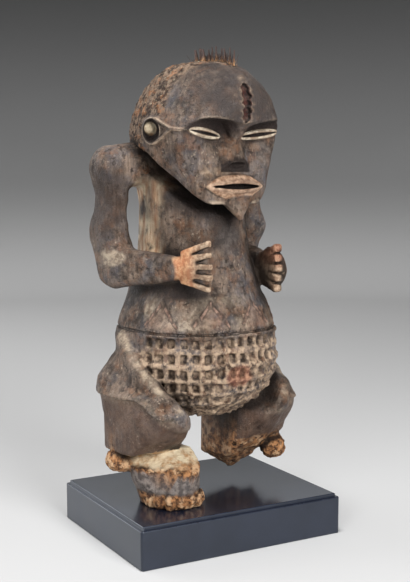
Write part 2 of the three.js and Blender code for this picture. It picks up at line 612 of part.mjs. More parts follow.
function plinthBlock() {
  const { height, rebate, bevel } = plinth;
  const ledge = height - plinth.rebateHeight;
  const rings = [[bevel, 0], [0, bevel], [0, ledge - bevel], [bevel, ledge]];
  rings.push([rebate, ledge], [rebate, height - bevel], [rebate + bevel, height]);
  const mesh = new THREE.Mesh(geometryOf(loft(rings.map((ring) => plinthRing(...ring)))), blackPaint);
  mesh.name = "plinth";
  return mesh;
}

const group = new THREE.Group();
const standing = new THREE.Group();
standing.position.set(stance.x, stance.y, plinth.height + stance.gap);
standing.rotation.z = stance.turn;
const figureMesh = carvedFigure();
standing.add(figureMesh);
for (let i = 0; i < quills.count; i++) standing.add(quill(figureMesh, i));
group.add(plinthBlock(), standing);
export default group;
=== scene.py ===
"""A carved wooden figure with short quills in its crown, standing on a black plinth.

The wood is carved by distances: each function says how far points lie from the surface of one form, below
zero inside it, and the whole is drawn as one fine closed mesh. Carving sizes are millimetres in the
figure's own frame, [side, forward, height]: side towards its left hand, height above the plinth's top.
"""

import functools
import math

import bpy
import numpy as np
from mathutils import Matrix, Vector


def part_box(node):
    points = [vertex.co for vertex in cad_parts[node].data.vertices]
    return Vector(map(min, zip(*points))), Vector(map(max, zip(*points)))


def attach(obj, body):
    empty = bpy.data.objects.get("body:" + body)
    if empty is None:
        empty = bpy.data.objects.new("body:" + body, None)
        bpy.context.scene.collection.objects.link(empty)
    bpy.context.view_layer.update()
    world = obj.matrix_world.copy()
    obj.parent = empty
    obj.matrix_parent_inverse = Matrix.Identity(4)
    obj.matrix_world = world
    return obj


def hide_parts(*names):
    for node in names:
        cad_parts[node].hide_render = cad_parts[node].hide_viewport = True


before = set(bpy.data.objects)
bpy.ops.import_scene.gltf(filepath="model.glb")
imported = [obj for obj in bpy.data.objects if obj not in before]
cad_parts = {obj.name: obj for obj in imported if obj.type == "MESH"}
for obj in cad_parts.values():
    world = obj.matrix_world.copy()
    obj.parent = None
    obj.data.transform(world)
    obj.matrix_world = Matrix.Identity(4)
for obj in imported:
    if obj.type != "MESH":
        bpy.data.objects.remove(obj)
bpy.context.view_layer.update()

MM = 0.001
PLINTH_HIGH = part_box("plinth")[1]
STANCE = {"x": -8.4, "y": 1.6, "turn": math.radians(10), "gap": 0.3}
GRID_STEP = 0.95
GRID_BLOCK = 8
GRID_LOW = (-112.0, -76.0, -3.0)
GRID_HIGH = (112.0, 100.0, 386.0)
FIGURE_TRIANGLES = 192000


# Small tools for distances

def mix(a, b, t):
    return a + (b - a) * t


def ramp(low, high, v):
    """0 below low and 1 above high, smooth between. With low above high it falls instead."""
    t = np.clip((v - low) / (high - low), 0, 1)
    return t * t * (3 - 2 * t)


def most(*values):
    return functools.reduce(np.maximum, values)


def join(a, b, blend):
    h = np.maximum(blend - np.abs(a - b), 0)
    return np.minimum(a, b) - h * h / (4 * blend)


def overlap(a, b, blend):
    return -join(-a, -b, blend)


def cut(a, tool, blend):
    return -join(-a, tool, blend)


def length(*parts):
    return np.sqrt(sum(c * c for c in parts))


def egg(p, at, radii):
    """An ellipsoid."""
    q = [c - a for c, a in zip(p, at)]
    near = np.sqrt(sum((c / r) ** 2 for c, r in zip(q, radii)) + 1e-6)
    steep = np.sqrt(sum((c / r ** 2) ** 2 for c, r in zip(q, radii)) + 1e-6 / max(radii) ** 2)
    return near * (near - 1) / steep


def rounded(a, b, power):
    """The size of a vector in a rounded square: power 2 is a circle, more is squarer."""
    if power == 2:
        return length(a, b)
    return (np.abs(a) ** power + np.abs(b) ** power) ** (1 / power)


def limb(p, start, end, across=(1, 0, 0), power=2):
    """A tapering limb. Each end is (side, forward, height, half thickness along "across", half height)."""
    d = [e - s for s, e in zip(start[:3], end[:3])]
    q = [c - s for c, s in zip(p, start)]
    t = np.clip(sum(c * k for c, k in zip(q, d)) / sum(k * k for k in d), 0, 1)
    o = [c - k * t for c, k in zip(q, d)]
    flat = sum(c * k for c, k in zip(o, across))
    rest = np.sqrt(np.maximum(sum(c * c for c in o) - flat ** 2, 0))
    w, h = (mix(start[i], end[i], t) for i in (3, 4))
    return (rounded(flat / w, rest / h, power) - 1) * np.minimum(w, h)


def plane(p, at, facing):
    """The side of a plane through a point, positive on the side that it faces."""
    size = math.sqrt(sum(k * k for k in facing))
    return sum((c - a) * k for c, a, k in zip(p, at, facing)) / size


def crest(p, line, width):
    """1 on a line of points and 0 from a width away: the two straight sides of a ridge."""
    nearest = np.full(p[0].shape, width, dtype=np.float32)
    for start, end in zip(line, line[1:]):
        nearest = np.minimum(nearest, limb(p, start + (1e-3, 1e-3), end + (1e-3, 1e-3)) + 1e-3)
    return 1 - nearest / width


def along(rows, z):
    """The columns of a profile at height z, on a smooth curve through its rows."""
    rows = np.asarray(rows, dtype=np.float32)
    slopes = np.gradient(rows[:, 1:], rows[:, 0], axis=0)
    z = np.clip(z, rows[0, 0], rows[-1, 0])
    k = np.clip(np.searchsorted(rows[:, 0], z) - 1, 0, len(rows) - 2)
    gap = (rows[k + 1, 0] - rows[k, 0])[:, None]
    t = (z - rows[k, 0])[:, None] / gap
    low, high, a, b = rows[k, 1:], rows[k + 1, 1:], slopes[k] * gap, slopes[k + 1] * gap
    curve = (2 * t ** 3 - 3 * t ** 2 + 1) * low + (t ** 3 - 2 * t ** 2 + t) * a
    return (curve + (3 * t ** 2 - 2 * t ** 3) * high + (t ** 3 - t ** 2) * b).T


def mirrored(p):
    return (np.abs(p[0]), p[1], p[2])


def where(mask, d, p, shape):
    """Changes d only at the points of the mask, which saves time where a form is small."""
    chosen = np.nonzero(mask)[0]
    if len(chosen):
        d[chosen] = shape(d[chosen], tuple(c[chosen] for c in p))


# Seeded noise

def lattice(i, j, k, seed):
    """A fixed random number from -1 to 1 for each whole place of a grid."""
    h = (i * 73856093) ^ (j * 19349663) ^ (k * 83492791) ^ (seed * 2654435761)
    h = (h ^ (h >> 13)) * 1274126177 & 0xFFFFFFFF
    return ((h ^ (h >> 16)) & 0xFFFF) / 32767.5 - 1


def waves(p, size, seed, layers=1):
    """Smooth noise from -1 to 1 with lumps of about a size, and finer layers on top."""
    total, strength, weight = 0, 1.0, 0
    for layer in range(layers):
        q = [c / size * 2 ** layer for c in p]
        base = [np.floor(c).astype(np.int64) for c in q]
        x, y, z = (ramp(0, 1, c - b) for c, b in zip(q, base))
        values = [lattice(base[0] + a, base[1] + b, base[2] + c, seed + 7 * layer)
                  for a in (0, 1) for b in (0, 1) for c in (0, 1)]
        low = mix(mix(values[0], values[1], z), mix(values[2], values[3], z), y)
        high = mix(mix(values[4], values[5], z), mix(values[6], values[7], z), y)
        total, weight = total + strength * mix(low, high, x), weight + strength
        strength /= 2
    return total / weight


def lumps(p, size, seed):
    """The distance to the nearest of many scattered middles, in sizes, for grains and tool marks."""
    q = [c / size for c in p]
    base = [np.floor(c).astype(np.int64) for c in q]
    nearest = np.full(q[0].shape, 9.0)
    for a in (-1, 0, 1):
        for b in (-1, 0, 1):
            for c in (-1, 0, 1):
                cell = (base[0] + a, base[1] + b, base[2] + c)
                gaps = [v + 0.5 + 0.45 * lattice(*cell, seed + n) - w
                        for n, (v, w) in enumerate(zip(cell, q))]
                nearest = np.minimum(nearest, sum(g * g for g in gaps))
    return np.sqrt(nearest)


# Torso and belly

# (height, half width, half depth, forward) of the torso
TORSO = [
    (84, 48, 46, -6), (110, 62, 60, 2), (148, 67, 67, 7), (164, 62, 63, 7), (182, 55, 57, 6),
    (205, 47, 52, 4), (235, 43, 48, 2), (262, 44, 44, 0), (290, 45, 38, -6), (316, 42, 32, -12),
]
CHEST = {"at": (0, 0, 283), "facing": (0, 0.6, 0.8)}
BELT = {"height": 150, "depth": 1.5, "width": 1.5}
BELLY = {"at": (0, 19, 123), "radii": (67, 59, 50), "top": 149}
PITS = {
    "rows": (142.5, 129.5, 117, 105, 94, 84), "half": 3.7, "step": 8.6, "width": 0.25, "reach": 78,
    "bottom": 74, "depth": 4.2, "boss": 1.3,
}
CHEVRON = {"first": 12, "step": 39, "half": 14, "low": 156, "high": 19, "reach": 84, "rise": 1.2}
AXIS_FORWARD = 7


def torso(p):
    x, y, z = p
    w, d, c = along(TORSO, z)
    small = np.minimum(w, d)
    groove = ramp(BELT["width"], BELT["width"] * 0.3, np.abs(z - BELT["height"])) * BELT["depth"]
    barrel = (rounded(x / w, (y - c) / d, 2.3) - 1) * small + groove
    return overlap(overlap(barrel, plane(p, CHEST["at"], CHEST["facing"]), 4), TORSO[0][0] - z, 20)


def bearing(p):
    """The angle round the trunk in degrees, 0 at the front."""
    return np.degrees(np.arctan2(p[0], p[1] - AXIS_FORWARD))


def pit_places(p):
    """(column, row) of the belly's pattern: 1 in the middle of a pit and 0 on the ribs between."""
    worn = ramp(122, 88, p[2])
    angle = bearing(p) + (0.7 + 1.6 * worn) * waves(p, 14, 89)
    z = p[2] + (0.6 + 1.6 * worn) * waves(p, 17, 90)
    lane = angle / PITS["step"] + 0.5
    column = ramp(PITS["width"] + 0.13, PITS["width"] - 0.1, np.abs(lane - np.round(lane)))
    row = np.zeros_like(z)
    for height in PITS["rows"]:
        row = np.maximum(row, ramp(PITS["half"] + 1.4, PITS["half"] - 1.4, np.abs(z - height)))
    edge = ramp(PITS["reach"], PITS["reach"] - 3, np.abs(angle))
    return column, row, edge * (p[2] < BELLY["top"]) * (p[2] > PITS["bottom"])


def pit_depth(p):
    """How deep the square pits of the belly are. The ribs between them carry a boss at each crossing."""
    column, row, edge = pit_places(p)
    rib = (1 - row) * (0.5 + 0.5 * (1 - column))
    eaten = (0.85 + 0.6 * waves(p, 9, 91)) * ramp(84, 108, p[2] + 8 * waves(p, 15, 92))
    return (PITS["depth"] * column * row * eaten - PITS["boss"] * rib) * edge


# Legs, drawn for the figure's left and mirrored where they are alike

DEEP_INSIDE = -40
HIP = {"top": (45, -8, 124, 22, 26), "low": (55, -5, 100, 33, 31)}
SEAT = {"at": (27, -36, 108), "radii": (30, 22, 27)}
HIP_FACET = {"at": (66, -12, 149), "facing": (0.85, 0.28, 0.44)}
THIGH = {"from": (55, 0, 100, 30, 26), "to": (58, 38, 78, 24, 23)}
KNEE = {
    "upper": (58, 57, 85), "slope": (0, 0.42, 0.91), "inner": (44, 50, 82), "lean": (-0.55, 0.45, 0.7),
    "lower": (58, 59, 73), "under": ((0, 0.78, -0.62), (0, 0.65, -0.76)),
}
CALF_INSIDE = {"at": (34, 28, 46), "facing": (-0.95, 0.27, 0.13)}
CALF = {"at": (56, 9), "half": (31, 43), "top": 98, "foot": 45}
THIGH_CREST = {
    "line": [
        (67, -10, 145), (70.5, 6, 132), (71.5, 21, 119), (68.5, 34.5, 108), (67, 48, 97), (59, 57.5, 86),
    ],
    "width": 9, "rise": 1.6, "core": 5.5, "sunk": (-2.2, -1.5, -4.6),
}
CALF_STEP = {
    "line": [
        (88, -14, 95.5), (87.5, 7.6, 94), (82, 24.7, 95.2), (78, 40.3, 92.7), (73, 56, 82), (52, 60, 72),
    ],
    "width": 7, "rise": 1.6, "inset": 2.2,
}
CRACKS = [[(27, 28, 41.5), (36, 34, 41), (44, 37, 42)], [(47, 37, 38), (58, 38.5, 42), (70, 38, 48)]]
BREAKS = [
    ((48, 0, 7), (-0.65, 0, -0.76)), ((48, 0, 7), (0.29, 0.53, -0.8)),
    ((48, 0, 7), (0.1, -0.45, -0.89)), ((50, 36, 40), (0, 0.62, -0.78)),
]
STUMP_LUMP = ((74, 28, 32), (12, 12, 11))


def broken_end(p):
    return most(*[plane(p, at, facing) for at, facing in BREAKS])


def leg(p):
    q = mirrored(p)
    upper = limb(q, HIP["top"], HIP["low"], power=3)
    under = np.where(p[0] > 0, *[plane(q, KNEE["lower"], facing) for facing in KNEE["under"]])
    wedge = overlap(plane(q, KNEE["upper"], KNEE["slope"]), under, 5)
    front = overlap(limb(q, THIGH["from"], THIGH["to"], power=2.6), wedge, 3)
    x, y = ((q[k] - CALF["at"][k]) / CALF["half"][k] for k in (0, 1))
    block = overlap((rounded(x, y, 2.8) - 1) * CALF["half"][0], under, 5)
    stump = broken_end(p) + 1.8 + 2.4 * waves(p, 10, 93, 2)
    end = np.where(p[0] > 0, stump, CALF["foot"] - p[2])
    lower = overlap(overlap(block, q[2] - CALF["top"], 8), end, 2)
    bend = overlap(join(front, lower, 6), plane(q, KNEE["inner"], KNEE["lean"]), 2)
    inside = plane(q, CALF_INSIDE["at"], CALF_INSIDE["facing"])
    bend = overlap(bend, np.where(p[0] > 0, DEEP_INSIDE, inside), 4)
    whole = join(join(upper, egg(q, SEAT["at"], SEAT["radii"]), 8), bend, 6)
    whole = overlap(whole, plane(q, HIP_FACET["at"], HIP_FACET["facing"]), 2)
    ridge = [tuple(c + s for c, s in zip(at, THIGH_CREST["sunk"])) + (THIGH_CREST["core"],) * 2
             for at in THIGH_CREST["line"]]
    for start, end in zip(ridge, ridge[1:]):
        whole = join(whole, limb(q, start, end), 9)
    for edge in (THIGH_CREST, CALF_STEP):
        whole = whole - edge["rise"] * crest(q, edge["line"], edge["width"])
    brink = mix(95, 82, ramp(25, 58, q[1]))
    whole = whole + CALF_STEP["inset"] * ramp(brink + 1, brink - 1, q[2]) * ramp(58, 66, q[0])
    for line in CRACKS:
        whole = whole + 3 * ramp(0.1, 0.7, crest(p, line, 2.2))
    return whole


FOOT = {
    "at": (-43, 23), "radii": (22, 28), "top": 47, "flare": 0.12, "slant": 0.16,
    "slope": ((-43, 50, 33.5), (0.06, 0.56, 0.83)), "flank": ((-69, 27, 33.5), (-0.5, 0.36, 0.79)),
    "corner": ((-59, 39, 34), (-0.78, 0.62, 0)), "heel": ((-75, -2, 38), (13, 14, 11)),
}
TOES = [
    (-62, 24, 6), (-61, 34, 7), (-56, 42, 6.5), (-48, 46.5, 7), (-40, 48, 7), (-32, 47, 6.5), (-25, 42, 6),
]
TOE_RADII = (5.4, 6, 7.2)


def foot_slope(p):
    """The broken top of the foot: a slope to the front and another to its outer side."""
    return overlap(plane(p, *FOOT["slope"]), plane(p, *FOOT["flank"]), 6)


def foot(p):
    w, d = (r + FOOT["flare"] * p[2] - 1.2 * ramp(18, 12, p[2]) for r in FOOT["radii"])
    x = (p[0] - FOOT["at"][0] + FOOT["slant"] * p[2]) / w
    block = (rounded(x, (p[1] - FOOT["at"][1]) / d, 2.6) - 1) * w
    slope = foot_slope(p) + 1.3 * waves(p, 8, 95, 3)
    block = overlap(block, plane(p, *FOOT["corner"]), 5)
    block = overlap(block, most(slope, p[2] - FOOT["top"], -p[2]), 1)
    for at in TOES:
        block = join(block, egg(p, at, TOE_RADII), 0.8)
    return join(block, egg(p, *FOOT["heel"]), 4)


# Arms and hands, drawn for the figure's left and mirrored

ARM = {
    "shoulder": ((44, -22, 290, 19, 19), (64, -25, 289, 18, 18)), "upper": (67, -25, 284, 15.5, 16),
    "waist": (67, -24, 263, 11, 14), "bend": (71, -24, 234, 13, 17), "elbow": (68, -17, 208, 14, 18),
    "fore": ((67, -16, 203, 14, 18), (49, 38, 204, 8, 11)),
}


def arm(q, side, forward):
    """An arm whose middle stands out and forward by the given ways."""
    x, y, *waist = ARM["waist"]
    waist = (x + side * 0.8, y + forward, *waist)
    x, y, *bend = ARM["bend"]
    bend = (x + side, y + forward, *bend)
    shoulder = limb(q, *ARM["shoulder"], (0, 1, 0), 3.2)
    upper = limb(q, ARM["upper"], waist, power=2.8)
    middle = limb(q, waist, bend, power=2.8)
    elbow = limb(q, bend, ARM["elbow"], power=2.8)
    fore = limb(q, *ARM["fore"], power=3)
    return join(join(join(shoulder, upper, 6), join(middle, elbow, 3), 3), fore, 3)


PALM = {"wrist": (49, 38, 205, 5.5, 6), "knuckles": (46, 53, 206, 4.2, 12.8)}
FINGERS = {"from": 53, "to": 76, "inward": 5, "knuckle_step": 5.5, "tip_step": 9.2}
LEFT_HAND = {"side": 8, "forward": 9, "low": 6, "reach": 0.74, "fan": 0.92, "thick": 5.4}
RIGHT_HAND = {"side": 0, "forward": 0, "low": 0, "reach": 1, "fan": 1, "thick": 3.3}


def hand(q, low, reach, fan, thick):
    """A flat hand with five blocky fingers. The fan is how far they spread."""
    side, _, height = PALM["knuckles"][:3]
    p = (q[0], q[1], height + (q[2] + low - height) / fan)
    d = limb(p, PALM["wrist"], PALM["knuckles"]) - 1.2 * (thick - RIGHT_HAND["thick"])
    for i in range(-2, 3):
        end = mix(FINGERS["from"], FINGERS["to"], reach) - abs(i)
        start = (side, FINGERS["from"] - 2 * abs(i), height + i * FINGERS["knuckle_step"])
        tip = (side - FINGERS["inward"], end, height + 2 + i * FINGERS["tip_step"])
        finger = bar(p, start, tip, thick, 0.82 * thick)
        d = join(d, finger, 0.8)
    return d


def bar(p, start, end, base, tip):
    """A finger: a tapering bar with a squarish section and a blunt end."""
    d = [e - s for s, e in zip(start, end)]
    size = np.sqrt(sum(k * k for k in d))
    q = [c - s for c, s in zip(p, start)]
    far = sum(c * k for c, k in zip(q, d)) / size
    t = np.clip(far / size, 0, 1)
    o = [c - k * t for c, k in zip(q, d)]
    radius = mix(base, tip, t)
    return (rounded(rounded(o[0], o[1], 2) / radius, o[2] / radius, 3.2) - 1) * radius


def hands(p):
    """(distance to the hands, how far the arms stand out, how far forward)"""
    own = {k: np.where(p[0] > 0, LEFT_HAND[k], RIGHT_HAND[k]) for k in LEFT_HAND}
    drawn = hand(mirrored(p), own["low"], own["reach"], own["fan"], own["thick"])
    return drawn, own["side"], own["forward"]


def limbs_above(d, p):
    drawn, side, forward = hands(p)
    return join(d, join(arm(mirrored(p), side, forward), drawn, 3), 4)


# Head

SKULL = {"at": (0, 18, 313), "radii": (56, 75, 68), "under": 54, "front": 77, "crown": 376}
FACE_OUTLINE = [
    (243, 5), (248, 18), (257, 29), (268, 37), (279, 39.5), (294, 43), (304, 46.5), (318, 50), (345, 52),
]
FACE_FLAT = {"forward": 59.5, "splay": 0.12, "top": 326}
JAW = {"at": (0, 3, 304), "facing": (0, -0.65, -0.76), "back": 304}
BROW = {"at": (30, 68, 307), "radii": (31, 24, 20.5)}
SOCKET = {"at": (19, 70, 311), "radii": (17, 14, 11)}
NECK = ((0, -8, 258, 26, 24), (0, 4, 312, 26, 26))
BRIDGE = {"top": (-2, 69, 335, 20, 8.5), "low": (-1.5, 59, 308, 2.5, 4.5)}
NOSE = {
    "side": -0.5, "face": 58.5, "top": 318, "base": 285,
    "half": (5, 16), "flat": (2, 6.5), "rise": (2, 9.5),
}
NOSTRILS = {
    "at": (0, 67.5, 293), "facing": (0, 0.68, -0.73), "hollow": (0, 64.5, 289), "radii": (10, 5, 3),
}
MOUTH = {
    "at": (-0.5, 0, 272), "half": (33, 12), "front": 67, "bend": 0.0055, "slit": (27, 2.2), "line": 0.62,
}
BEARD = {"top": (2.5, 57, 262, 18, 8.5), "tip": (0.5, 66, 246.5, 2.6, 3.2)}
EYES = {"outer": (48, 57, 318), "inner": (9.8, 55.5, 313), "apart": 4.7, "swell": 4.1, "slit": 1.05}
EAR = {"at": (53, 19, 318), "radii": (8, 14, 13.5), "bowl": (60, 20, 318), "bowl_radii": (9, 10.5, 10)}
EAR_LUMP = {"at": (54, 14.5, 320), "radii": (5.4, 4.8, 4.8)}
EAR_RIDGES = [
    [(57, 26, 327.5), (55.4, 34, 323.4), (54.2, 43, 319.4), (51.6, 51.5, 318.4), (47.5, 57.5, 318.4)],
    [(57, 22, 307.5), (56.3, 30.6, 311), (55.3, 36.1, 314.9), (54.2, 43, 319)],
]
SCAR = {"at": (-2.5, 77, 340), "half": (5.2, 7, 16), "notch": 6.2, "deep": 2.8}


def face(p):
    ahead = p[1] - FACE_FLAT["forward"]
    width = along(FACE_OUTLINE, p[2])[0] + FACE_FLAT["splay"] * np.maximum(-ahead, 0)
    block = overlap(np.abs(p[0]) - width, ahead, 7)
    ball = egg(p, SKULL["at"], (SKULL["radii"][0] - 0.5, SKULL["radii"][1], 95))
    return most(block, ball, -p[1], p[2] - FACE_FLAT["top"])


def dome(p):
    a, b, c = SKULL["radii"]
    low, high = (egg(p, SKULL["at"], (a, b, tall)) for tall in (SKULL["under"], c))
    ball = np.where(p[2] < SKULL["at"][2], low, high)
    front = overlap(overlap(ball, p[1] - SKULL["front"], 8), p[2] - SKULL["crown"], 5)
    under_brow = p[1] - 56 - np.maximum(p[2] - 318, 0) * 4
    return cut(overlap(front, under_brow, 10), egg(mirrored(p), BROW["at"], BROW["radii"]), 1)


def nose(p):
    """A wedge with a flat front that widens and rises towards its slanting underside."""
    x, t = np.abs(p[0] - NOSE["side"]), (NOSE["top"] - p[2]) / (NOSE["top"] - NOSE["base"])
    half, flat, rise = (mix(*NOSE[k], np.clip(t, 0, 1.1)) for k in ("half", "flat", "rise"))
    roof = p[1] - NOSE["face"] - np.minimum(rise, (half - x) * rise / (half - flat))
    wedge = overlap(roof * 0.8, p[2] - NOSE["top"], 4)
    wedge = np.maximum(overlap(wedge, plane(p, NOSTRILS["at"], NOSTRILS["facing"]), 0.8), 50 - p[1])
    return join(wedge, limb(p, BRIDGE["top"], BRIDGE["low"]), 3)


def lips(p):
    x, z = p[0] - MOUTH["at"][0], p[2] - MOUTH["at"][2]

    def leaf(size):
        return np.abs(z) - size[1] * (1 - (x / size[0]) ** 2)

    front = p[1] - MOUTH["front"] + MOUTH["bend"] * x * x + 0.05 * z * z
    line = np.abs(leaf(MOUTH["half"]) + MOUTH["line"] * MOUTH["half"][1])
    front = front - 1.1 * ramp(2.2, 0.3, line)
    body = np.maximum(overlap(leaf(MOUTH["half"]) * 0.85, front, 4), 50 - p[1])
    return cut(body, np.maximum(leaf(MOUTH["slit"]), 59 - p[1]), 1)


def eye_place(p):
    """Where points lie from an eye's middle line: (side, ahead, up, 0 at the corners to 1 in the middle).

    The figure's right eye is a little farther out than its left one.
    """
    inner, outer = EYES["inner"], EYES["outer"]
    start = inner[0] + np.where(p[0] < 0, EYES["apart"], -EYES["apart"])
    q = mirrored(p)
    t = np.clip((q[0] - start) / (outer[0] - start), 0, 1)
    ahead, up = (q[k] - mix(inner[k], outer[k], t) for k in (1, 2))
    return q[0] - mix(start, outer[0], t), ahead, up, np.sqrt(np.maximum(4 * t * (1 - t), 0))


def eye(p):
    """An almond with raised lids and a dark slit."""
    side, ahead, up, leaf = eye_place(p)
    ball = length(side, ahead, up * 0.95) - 0.8 - (EYES["swell"] - 0.8) * leaf
    lid = ramp(2.0, 0.4, np.abs(np.abs(up) - 0.72 * EYES["swell"] * leaf)) * (leaf > 0.25)
    return cut(ball - 0.7 * lid, np.maximum(np.abs(up) - EYES["slit"] * leaf, 1.5 - ahead), 0.4)


def ear(q):
    d = cut(egg(q, EAR["at"], EAR["radii"]), egg(q, EAR["bowl"], EAR["bowl_radii"]), 1)
    d = join(d, egg(q, EAR_LUMP["at"], EAR_LUMP["radii"]), 1)
    for line in EAR_RIDGES:
        for start, end in zip(line, line[1:]):
            d = join(d, limb(q, start + (1.9, 1.3), end + (1.9, 1.3)), 0.8)
    return d


def scar(p):
    """A notched groove up the forehead."""
    x, z = p[0] - SCAR["at"][0], p[2] - SCAR["at"][2]
    wide = SCAR["half"][0] * (0.8 + 0.2 * np.cos(2 * math.pi * z / SCAR["notch"]) + 0.35 * waves(p, 5, 99))
    wide = wide * np.sqrt(np.clip(1 - (z / SCAR["half"][2]) ** 2, 0, 1)) ** 0.6
    return most(np.abs(x) - wide, np.abs(z) - SCAR["half"][2], -dome(p) - SCAR["deep"])


def head(body, p):
    q = mirrored(p)
    d = join(dome(p), face(p), 6)
    d = overlap(d, join(plane(p, JAW["at"], JAW["facing"]), JAW["back"] - p[2], 6), 3)
    d = cut(d, egg(q, SOCKET["at"], SOCKET["radii"]), 7)
    d = join(d, nose(p), 4)
    d = cut(d, egg(p, NOSTRILS["hollow"], NOSTRILS["radii"]), 1.5)
    d = join(d, lips(p), 1)
    d = join(d, limb(p, BEARD["top"], BEARD["tip"]), 2)
    d = join(d, eye(p), 1)
    d = join(cut(d, egg(q, EAR["bowl"], EAR["bowl_radii"]), 1), ear(q), 1)
    d = cut(d, np.maximum(scar(p), 50 - p[1]), 0.8)
    return np.minimum(join(body, limb(p, *NECK, (0, 1, 0)), 6), d)


def lower_body(d, p):
    d = join(d, overlap(egg(p, BELLY["at"], BELLY["radii"]), p[2] - BELLY["top"], 3), 2)
    where((np.abs(d) < 8) & (p[1] > 5), d, p, lambda near, q: near + pit_depth(q))
    d = join(d, leg(p), 3)
    d = join(d, foot(p), 2)
    return join(d, egg(p, *STUMP_LUMP), 4)


# Where the legs end, where the arms lie and where the head begins, so that no form is worked out elsewhere
BOUNDS = {"legs_top": 170, "arms_low": 160, "arms_high": 316, "arms_side": 22, "head_low": 225}


def figure(p):
    side, z = np.abs(p[0]), p[2]
    d = torso(p)
    where(z < BOUNDS["legs_top"], d, p, lower_body)
    beside = (z > BOUNDS["arms_low"]) & (z < BOUNDS["arms_high"]) & (side > BOUNDS["arms_side"])
    where(beside, d, p, limbs_above)
    where(z > BOUNDS["head_low"], d, p, head)
    return d


# The mesh of a distance: one point for each cell of a grid that the surface crosses, and a face round each
# crossed edge of the grid

def grid_values(distance, low, high, step, block):
    """The distances at the points of a grid, worked out only in the blocks that lie near the surface."""
    counts = [int(math.ceil((h - l) / step / block)) * block for l, h in zip(low, high)]
    starts = [np.arange(0, n, block) for n in counts]
    i, j, k = (a.ravel() for a in np.meshgrid(*starts, indexing="ij"))
    middle = tuple((l + (a + (block - 1) / 2) * step).astype(np.float32) for l, a in zip(low, (i, j, k)))
    guess = distance(middle)
    values = np.repeat(np.repeat(np.repeat(
        guess.reshape([len(s) for s in starts]), block, 0), block, 1), block, 2).astype(np.float32)
    near = np.abs(guess) < block * step * 1.4
    offsets = np.stack(np.meshgrid(*[np.arange(block)] * 3, indexing="ij"), -1).reshape(-1, 3)
    points = (np.stack([i, j, k], -1)[near][:, None, :] + offsets[None]).reshape(-1, 3)
    for chunk in np.array_split(points, max(1, len(points) // 400000)):
        place = tuple((l + c * step).astype(np.float32) for l, c in zip(low, chunk.T))
        values[tuple(chunk.T)] = distance(place)
    return values


def surface(values, low, step):
    """(points, quads) of the surface where the values are zero."""
    inside = values < 0
    n = [s - 1 for s in values.shape]
    corners = [(a, b, c) for a in (0, 1) for b in (0, 1) for c in (0, 1)]

    def corner(array, at):
        return array[at[0]:at[0] + n[0], at[1]:at[1] + n[1], at[2]:at[2] + n[2]]

    count = sum(corner(inside, c).astype(np.uint8) for c in corners)
    cells = np.nonzero((count > 0) & (count < 8))
    index = np.full(n, -1, dtype=np.int32)
    index[cells] = np.arange(len(cells[0]))
    total, crossings = np.zeros((len(cells[0]), 3)), np.zeros(len(cells[0]))
    for at in corners:
        for axis in range(3):
            if at[axis]:
                continue
            end = tuple(v + (k == axis) for k, v in enumerate(at))
            a = values[tuple(c + o for c, o in zip(cells, at))]
            b = values[tuple(c + o for c, o in zip(cells, end))]
            crossed = (a < 0) != (b < 0)
            t = np.where(crossed, a / np.where(crossed, a - b, 1), 0)
            for k in range(3):
                total[:, k] += crossed * (at[k] + (t if k == axis else 0))
            crossings += crossed
    points = (np.stack(cells, -1) + total / crossings[:, None]) * step + np.asarray(low)
    quads = []
    for axis in range(3):
        b, c = (axis + 1) % 3, (axis + 2) % 3
        after, before = [slice(None)] * 3, [slice(None)] * 3
        after[axis], before[axis] = slice(1, None), slice(None, -1)
        changed = np.nonzero(inside[tuple(after)] != inside[tuple(before)])
        ring = []
        for db, dc in ((-1, -1), (0, -1), (0, 0), (-1, 0)):
            cell = list(changed)
            cell[b], cell[c] = cell[b] + db, cell[c] + dc
            ring.append(index[tuple(cell)])
        quad = np.stack(ring, -1)
        quads.append(np.where(inside[changed][:, None], quad, quad[:, ::-1]))
    return points, np.concatenate(quads)


def slope(distance, p, reach=0.35):
    """The direction in which a distance grows, from four points round each place."""
    ways = np.array([(1, -1, -1), (-1, -1, 1), (-1, 1, -1), (1, 1, 1)], dtype=np.float32)
    total = sum(way[:, None] * distance(tuple(c + reach * w for c, w in zip(p, way))) for way in ways)
    return total / (4 * reach)


def settle(distance, points, limit, turns=2):
    """Moves points onto the surface along the distance's slope, by no more than a given way at a time."""
    p = points.T.astype(np.float32)
    for _ in range(turns):
        d = distance(tuple(p))
        g = slope(distance, tuple(p))
        move = d / np.maximum(np.sum(g * g, axis=0), 0.3)
        p = p - g * np.clip(move, -limit, limit)
    return p.T


# From the figure's own frame in millimetres to the shared one in metres, and back

def to_shared(points):
    c, s = math.cos(STANCE["turn"]), math.sin(STANCE["turn"])
    x = STANCE["x"] + points[:, 0] * c + points[:, 1] * s
    y = STANCE["y"] + points[:, 0] * s - points[:, 1] * c
    z = points[:, 2] + PLINTH_HIGH.z / MM + STANCE["gap"]
    return np.stack([x, y, z], -1) * MM


def to_figure(points):
    c, s = math.cos(STANCE["turn"]), math.sin(STANCE["turn"])
    x, y = points[:, 0] / MM - STANCE["x"], points[:, 1] / MM - STANCE["y"]
    z = (points[:, 2] - PLINTH_HIGH.z) / MM - STANCE["gap"]
    return np.stack([x * c + y * s, x * s - y * c, z], -1)


def placed(data):
    """An object in the scene with the data, such as a mesh, and its name."""
    thing = bpy.data.objects.new(data.name, data)
    bpy.context.scene.collection.objects.link(thing)
    return thing


